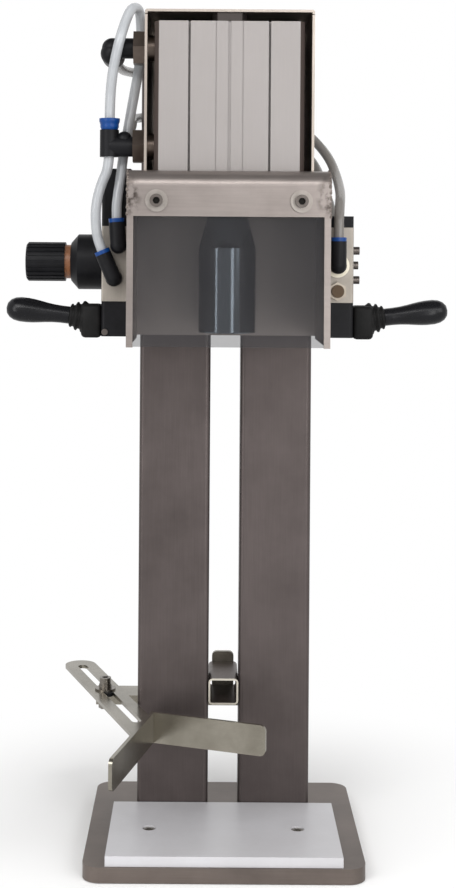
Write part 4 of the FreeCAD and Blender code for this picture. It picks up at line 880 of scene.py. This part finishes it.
@dataclass
class HandControls:
    """Bulb-ended hand levers and their rubber boots, in millimetres."""

    pivot: Point = (91.0, -2.0, 430.0)
    tilt_deg: float = 6.5
    grip: list[tuple[float, float]] = field(default_factory=lambda: [
        (6.0, 0.0), (6.2, 4.6), (9.0, 5.0), (32.0, 5.0), (34.5, 6.3), (37.0, 7.0), (43.0, 7.0),
        (49.0, 7.3), (55.0, 8.0), (60.0, 8.8), (65.0, 9.5), (70.0, 9.9), (76.0, 9.9), (80.5, 9.1),
        (84.0, 7.3), (86.5, 4.4), (87.5, 0.0),
    ])
    folds: list[tuple[float, float]] = field(default_factory=lambda: [
        (22.0, 0.0), (22.0, 11.5), (24.5, 13.0), (26.0, 12.6), (27.2, 10.2), (28.6, 10.0),
        (29.8, 11.6), (31.0, 11.3), (32.2, 8.8), (33.4, 8.6), (34.4, 9.6), (35.4, 9.2),
        (36.2, 7.4), (36.2, 0.0),
    ])
    tongue_low: Point = (-6.0, -4.0, -5.5)
    tongue_high: Point = (9.0, 4.0, 5.5)
    tongue_round: float = 2.4
    block_low: Point = (9.5, -13.4, -13.4)
    block_high: Point = (26.0, 13.4, 13.4)
    block_round: float = 3.5
    bend_start: Point = (12.0, 0.0, 0.0)
    bend_end: Point = (34.0, 0.0, 3.0)

    def place(self, side: Side) -> Matrix:
        """Where a side's control sits.

        Args:
            side: The hand.

        Returns:
            The matrix from the control's own axes to the row frame.
        """
        x, y, z = self.pivot
        turn = Matrix.Identity(4) if side is Side.RIGHT else Matrix.Rotation(math.pi, 4, "Z")
        return Matrix.Translation(metres((side.value * x, y, z))) @ turn

    def tilted(self) -> Matrix:
        """How far a lever at rest points above the level.

        Returns:
            The matrix in the control's own axes.
        """
        return Matrix.Rotation(-math.radians(self.tilt_deg), 4, "Y")

    def lever(self, shop: Workshop, side: Side) -> None:
        """Make a lever with its flat tongue in the head.

        Args:
            shop: The workshop.
            side: The hand.
        """
        name = side.name.lower()
        mesh = spun(self.grip)
        rounded_box(mesh, self.tongue_low, self.tongue_high, self.tongue_round)
        bmesh.ops.transform(mesh, matrix=self.place(side) @ self.tilted(), verts=mesh.verts)
        piece = shop.piece(f"{name}_lever_grip", mesh, LEVER_PLASTIC)
        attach(piece, f"{name}_lever")
        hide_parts(f"{name}_hand_lever")
        LOG.info("%s made", piece.name)

    def boot(self, shop: Workshop, side: Side) -> None:
        """Make a rubber boot whose folds tilt as the lever does at rest.

        Args:
            shop: The workshop.
            side: The hand.
        """
        name = side.name.lower()
        mesh = spun(self.folds)
        bmesh.ops.transform(mesh, matrix=self.tilted(), verts=mesh.verts)
        rounded_box(mesh, self.block_low, self.block_high, self.block_round)
        bmesh.ops.transform(mesh, matrix=self.place(side), verts=mesh.verts)
        piece = shop.piece(f"{name}_boot_folds", mesh, BLACK_RUBBER)
        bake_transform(piece)
        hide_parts(f"{name}_lever_boot")
        LOG.info("%s made", piece.name)

    def build(self, shop: Workshop) -> None:
        """Make both sides.

        Args:
            shop: The workshop.
        """
        for side in Side:
            self.lever(shop, side)
            self.boot(shop, side)


@dataclass
class HoodWelds:
    """Ground-down weld beads at the hood's bent front corners, in millimetres."""

    half_width: float = 77.0
    front: float = -78.0
    top: float = 548.0
    bend: float = 12.0
    flange_bottom: float = 513.0
    bead: float = 1.5
    spots: int = 26
    swell: float = 0.25
    swell_step: float = 2.3
    wander: float = 0.2
    wander_step: float = 1.7
    flatness: Point = (0.7, 0.55, 1.0)
    sunk_straight: Point = (0.0, 0.7, -0.2)
    sunk_bend: Point = (0.0, 0.5, -0.6)

    def build(self, shop: Workshop) -> None:
        """Lay a row of overlapping beads down each corner.

        Args:
            shop: The workshop.
        """
        mesh = bmesh.new()
        straight = self.top - self.bend - self.flange_bottom
        arc = self.bend * math.pi / 2
        flat = Matrix.Diagonal((*self.flatness, 1.0))
        for side in Side:
            for spot in range(self.spots):
                along = (straight + arc) * spot / (self.spots - 1)
                if along < straight:
                    y, z = self.front, self.flange_bottom + along
                    sunk = self.sunk_straight
                else:
                    turn = (along - straight) / self.bend
                    y = self.front + self.bend * (1 - math.cos(turn))
                    z = self.top - self.bend + self.bend * math.sin(turn)
                    sunk = self.sunk_bend
                wave = math.sin(spot * self.swell_step + side.value)
                radius = self.bead * (1.0 + self.swell * wave)
                sway = self.wander * math.sin(spot * self.wander_step)
                middle = Vector((side.value * (self.half_width + sway), y, z)) + Vector(sunk)
                place = Matrix.Translation(middle * MM) @ flat
                bmesh.ops.create_icosphere(mesh, subdivisions=2, radius=radius * MM, matrix=place)
        piece = shop.piece("hood_corner_welds", mesh, WELD_STEEL)
        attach(piece, "frame")
        LOG.info("%s laid", piece.name)


@dataclass(frozen=True)
class Lamp:
    """A soft lamp, in millimetres.

    Attributes:
        name: Its name.
        place: Where it hangs.
        aim: What it points at.
        size: Its width and height.
        watts: Its power.
    """

    name: str
    place: Point
    aim: Point
    size: tuple[float, float]
    watts: float

    def hang(self) -> None:
        """Add the lamp to the scene."""
        data = bpy.data.lights.new(self.name, "AREA")
        data.shape = "RECTANGLE"
        data.size, data.size_y = (side * MM for side in self.size)
        data.energy = self.watts
        item = bpy.data.objects.new(self.name, data)
        item.location = metres(self.place)
        heading = metres(self.aim) - metres(self.place)
        item.rotation_euler = heading.to_track_quat("-Z", "Y").to_euler()
        bpy.context.scene.collection.objects.link(item)


@dataclass
class Studio:
    """White floor and backdrop, dark ceiling, soft lamps and the camera, in millimetres."""

    camera_place: Point = (-16.4, -1240.0, 485.0)
    lens: float = 62.19
    sensor: float = 36.0
    shift: tuple[float, float] = (0.0236, -0.2151)
    roll_deg: float = 0.4
    near_clip: float = 10.0
    floor_place: Point = (0.0, 0.0, -0.5)
    floor_half: float = 6000.0
    floor_colour: Colour = (0.93, 0.93, 0.93)
    shadow_reach: tuple[float, float] = (150.0, 420.0)
    ceiling_place: Point = (0.0, -200.0, 1900.0)
    ceiling_half: float = 1250.0
    ceiling_colour: Colour = (0.03, 0.03, 0.03)
    matt: float = 0.9
    room_colour: Colour = (1.0, 0.99, 0.98)
    room_strength: float = 0.42
    lamps: tuple[Lamp, ...] = (
        Lamp("key_lamp", (-900, -1500, 1500), (0, 0, 350), (900, 900), 13.0),
        Lamp("brow_lamp", (0, -1500, 1300), (0, 0, 540), (2400, 200), 9.0),
        Lamp("fill_lamp", (1300, -1100, 900), (0, 0, 350), (900, 900), 9.0),
        Lamp("top_lamp", (100, -200, 2100), (0, 0, 400), (900, 900), 12.0),
        Lamp("left_strip", (-1080, -1040, 480), (0, 0, 480), (260, 900), 5.0),
        Lamp("right_strip", (480, -1320, 480), (0, 0, 480), (260, 900), 5.0),
    )

    def camera(self) -> None:
        """Stand the camera where the photograph was taken."""
        data = bpy.data.cameras.new("camera")
        data.sensor_fit = "VERTICAL"
        data.sensor_height = self.sensor
        data.lens = self.lens
        data.shift_x, data.shift_y = self.shift
        data.clip_start = self.near_clip * MM
        item = bpy.data.objects.new("camera", data)
        item.location = metres(self.camera_place)
        item.rotation_euler = (math.pi / 2, -math.radians(self.roll_deg), 0.0)
        bpy.context.scene.collection.objects.link(item)
        bpy.context.scene.camera = item

    def board(self, name: str, place: Point, half: float, colour: Colour) -> bpy.types.Object:
        """Lay a level square board that is no part of the capper.

        Args:
            name: Its name.
            place: Its middle, in millimetres.
            half: Half its width, in millimetres.
            colour: Its linear colour.

        Returns:
            The object, with a matt material of its own.
        """
        mesh = bmesh.new()
        bmesh.ops.create_grid(mesh, x_segments=1, y_segments=1, size=half * MM)
        data = bpy.data.meshes.new(name)
        mesh.to_mesh(data)
        mesh.free()
        material = bpy.data.materials.new(f"{name}_matt")
        material.use_nodes = True
        shader = material.node_tree.nodes["Principled BSDF"]
        fill(shader, {"Base Color": (*colour, 1.0), "Roughness": self.matt})
        data.materials.append(material)
        item = bpy.data.objects.new(name, data)
        item.location = metres(place)
        bpy.context.scene.collection.objects.link(item)
        return item

    def floor(self) -> None:
        """Lay a large pale floor, which passes into plain white round the capper's shadow."""
        item = self.board("floor", self.floor_place, self.floor_half, self.floor_colour)
        wiring = Wiring(item.active_material.node_tree)
        low, high = (reach * MM for reach in self.shadow_reach)
        fade = wiring.ramp(
            wiring.length(wiring.place()), low, high, interpolation="SMOOTHSTEP",
        )
        shown = wiring.mix_shaders(
            wiring.combine("MULTIPLY", self.seen_rays(wiring), fade),
            wiring.nodes["Principled BSDF"].outputs["BSDF"],
            wiring.add("Emission").outputs["Emission"],
        )
        wiring.link(shown, wiring.nodes["Material Output"].inputs["Surface"])

    @staticmethod
    def seen_rays(wiring: Wiring) -> bpy.types.NodeSocket:
        """Tell the rays that show the background from those that light the object.

        Args:
            wiring: The nodes and links of the material or world.

        Returns:
            A socket that is 1 on camera, glossy and transmission rays.
        """
        rays = wiring.add("LightPath").outputs
        shown = wiring.combine("MAXIMUM", rays["Is Camera Ray"], rays["Is Glossy Ray"])
        return wiring.combine("MAXIMUM", shown, rays["Is Transmission Ray"])

    def world(self) -> None:
        """Light the scene from all round, and show white where nothing is."""
        world = bpy.data.worlds.new("studio")
        world.use_nodes = True
        bpy.context.scene.world = world
        wiring = Wiring(world.node_tree)
        wiring.nodes.clear()
        room = wiring.add(
            "Background", {"Color": (*self.room_colour, 1.0), "Strength": self.room_strength},
        )
        white = wiring.add("Background", {"Color": (1.0, 1.0, 1.0, 1.0)})
        shown = wiring.mix_shaders(
            self.seen_rays(wiring), room.outputs["Background"], white.outputs["Background"],
        )
        wiring.link(shown, wiring.add("OutputWorld").inputs["Surface"])

    def dark_ceiling(self) -> None:
        """Hang a dark board overhead, which only reflections show."""
        item = self.board(
            "ceiling", self.ceiling_place, self.ceiling_half, self.ceiling_colour,
        )
        item.visible_camera = False
        item.visible_diffuse = False
        item.visible_shadow = False
        item.visible_transmission = False

    def build(self) -> None:
        """Set up the whole studio."""
        self.camera()
        self.floor()
        self.world()
        self.dark_ceiling()
        for lamp in self.lamps:
            lamp.hang()
        bpy.context.scene.view_settings.view_transform = "Standard"


def main() -> None:
    """Build the studio and the capper."""
    logging.basicConfig(level=logging.INFO, format="%(name)s: %(message)s")
    Studio().build()
    shop = Workshop()
    AirTubes().build(shop)
    shop.dress_cad()
    HandControls().build(shop)
    HoodWelds().build(shop)
    EjectorSpring().build(shop)


if __name__ == "__main__":
    main()
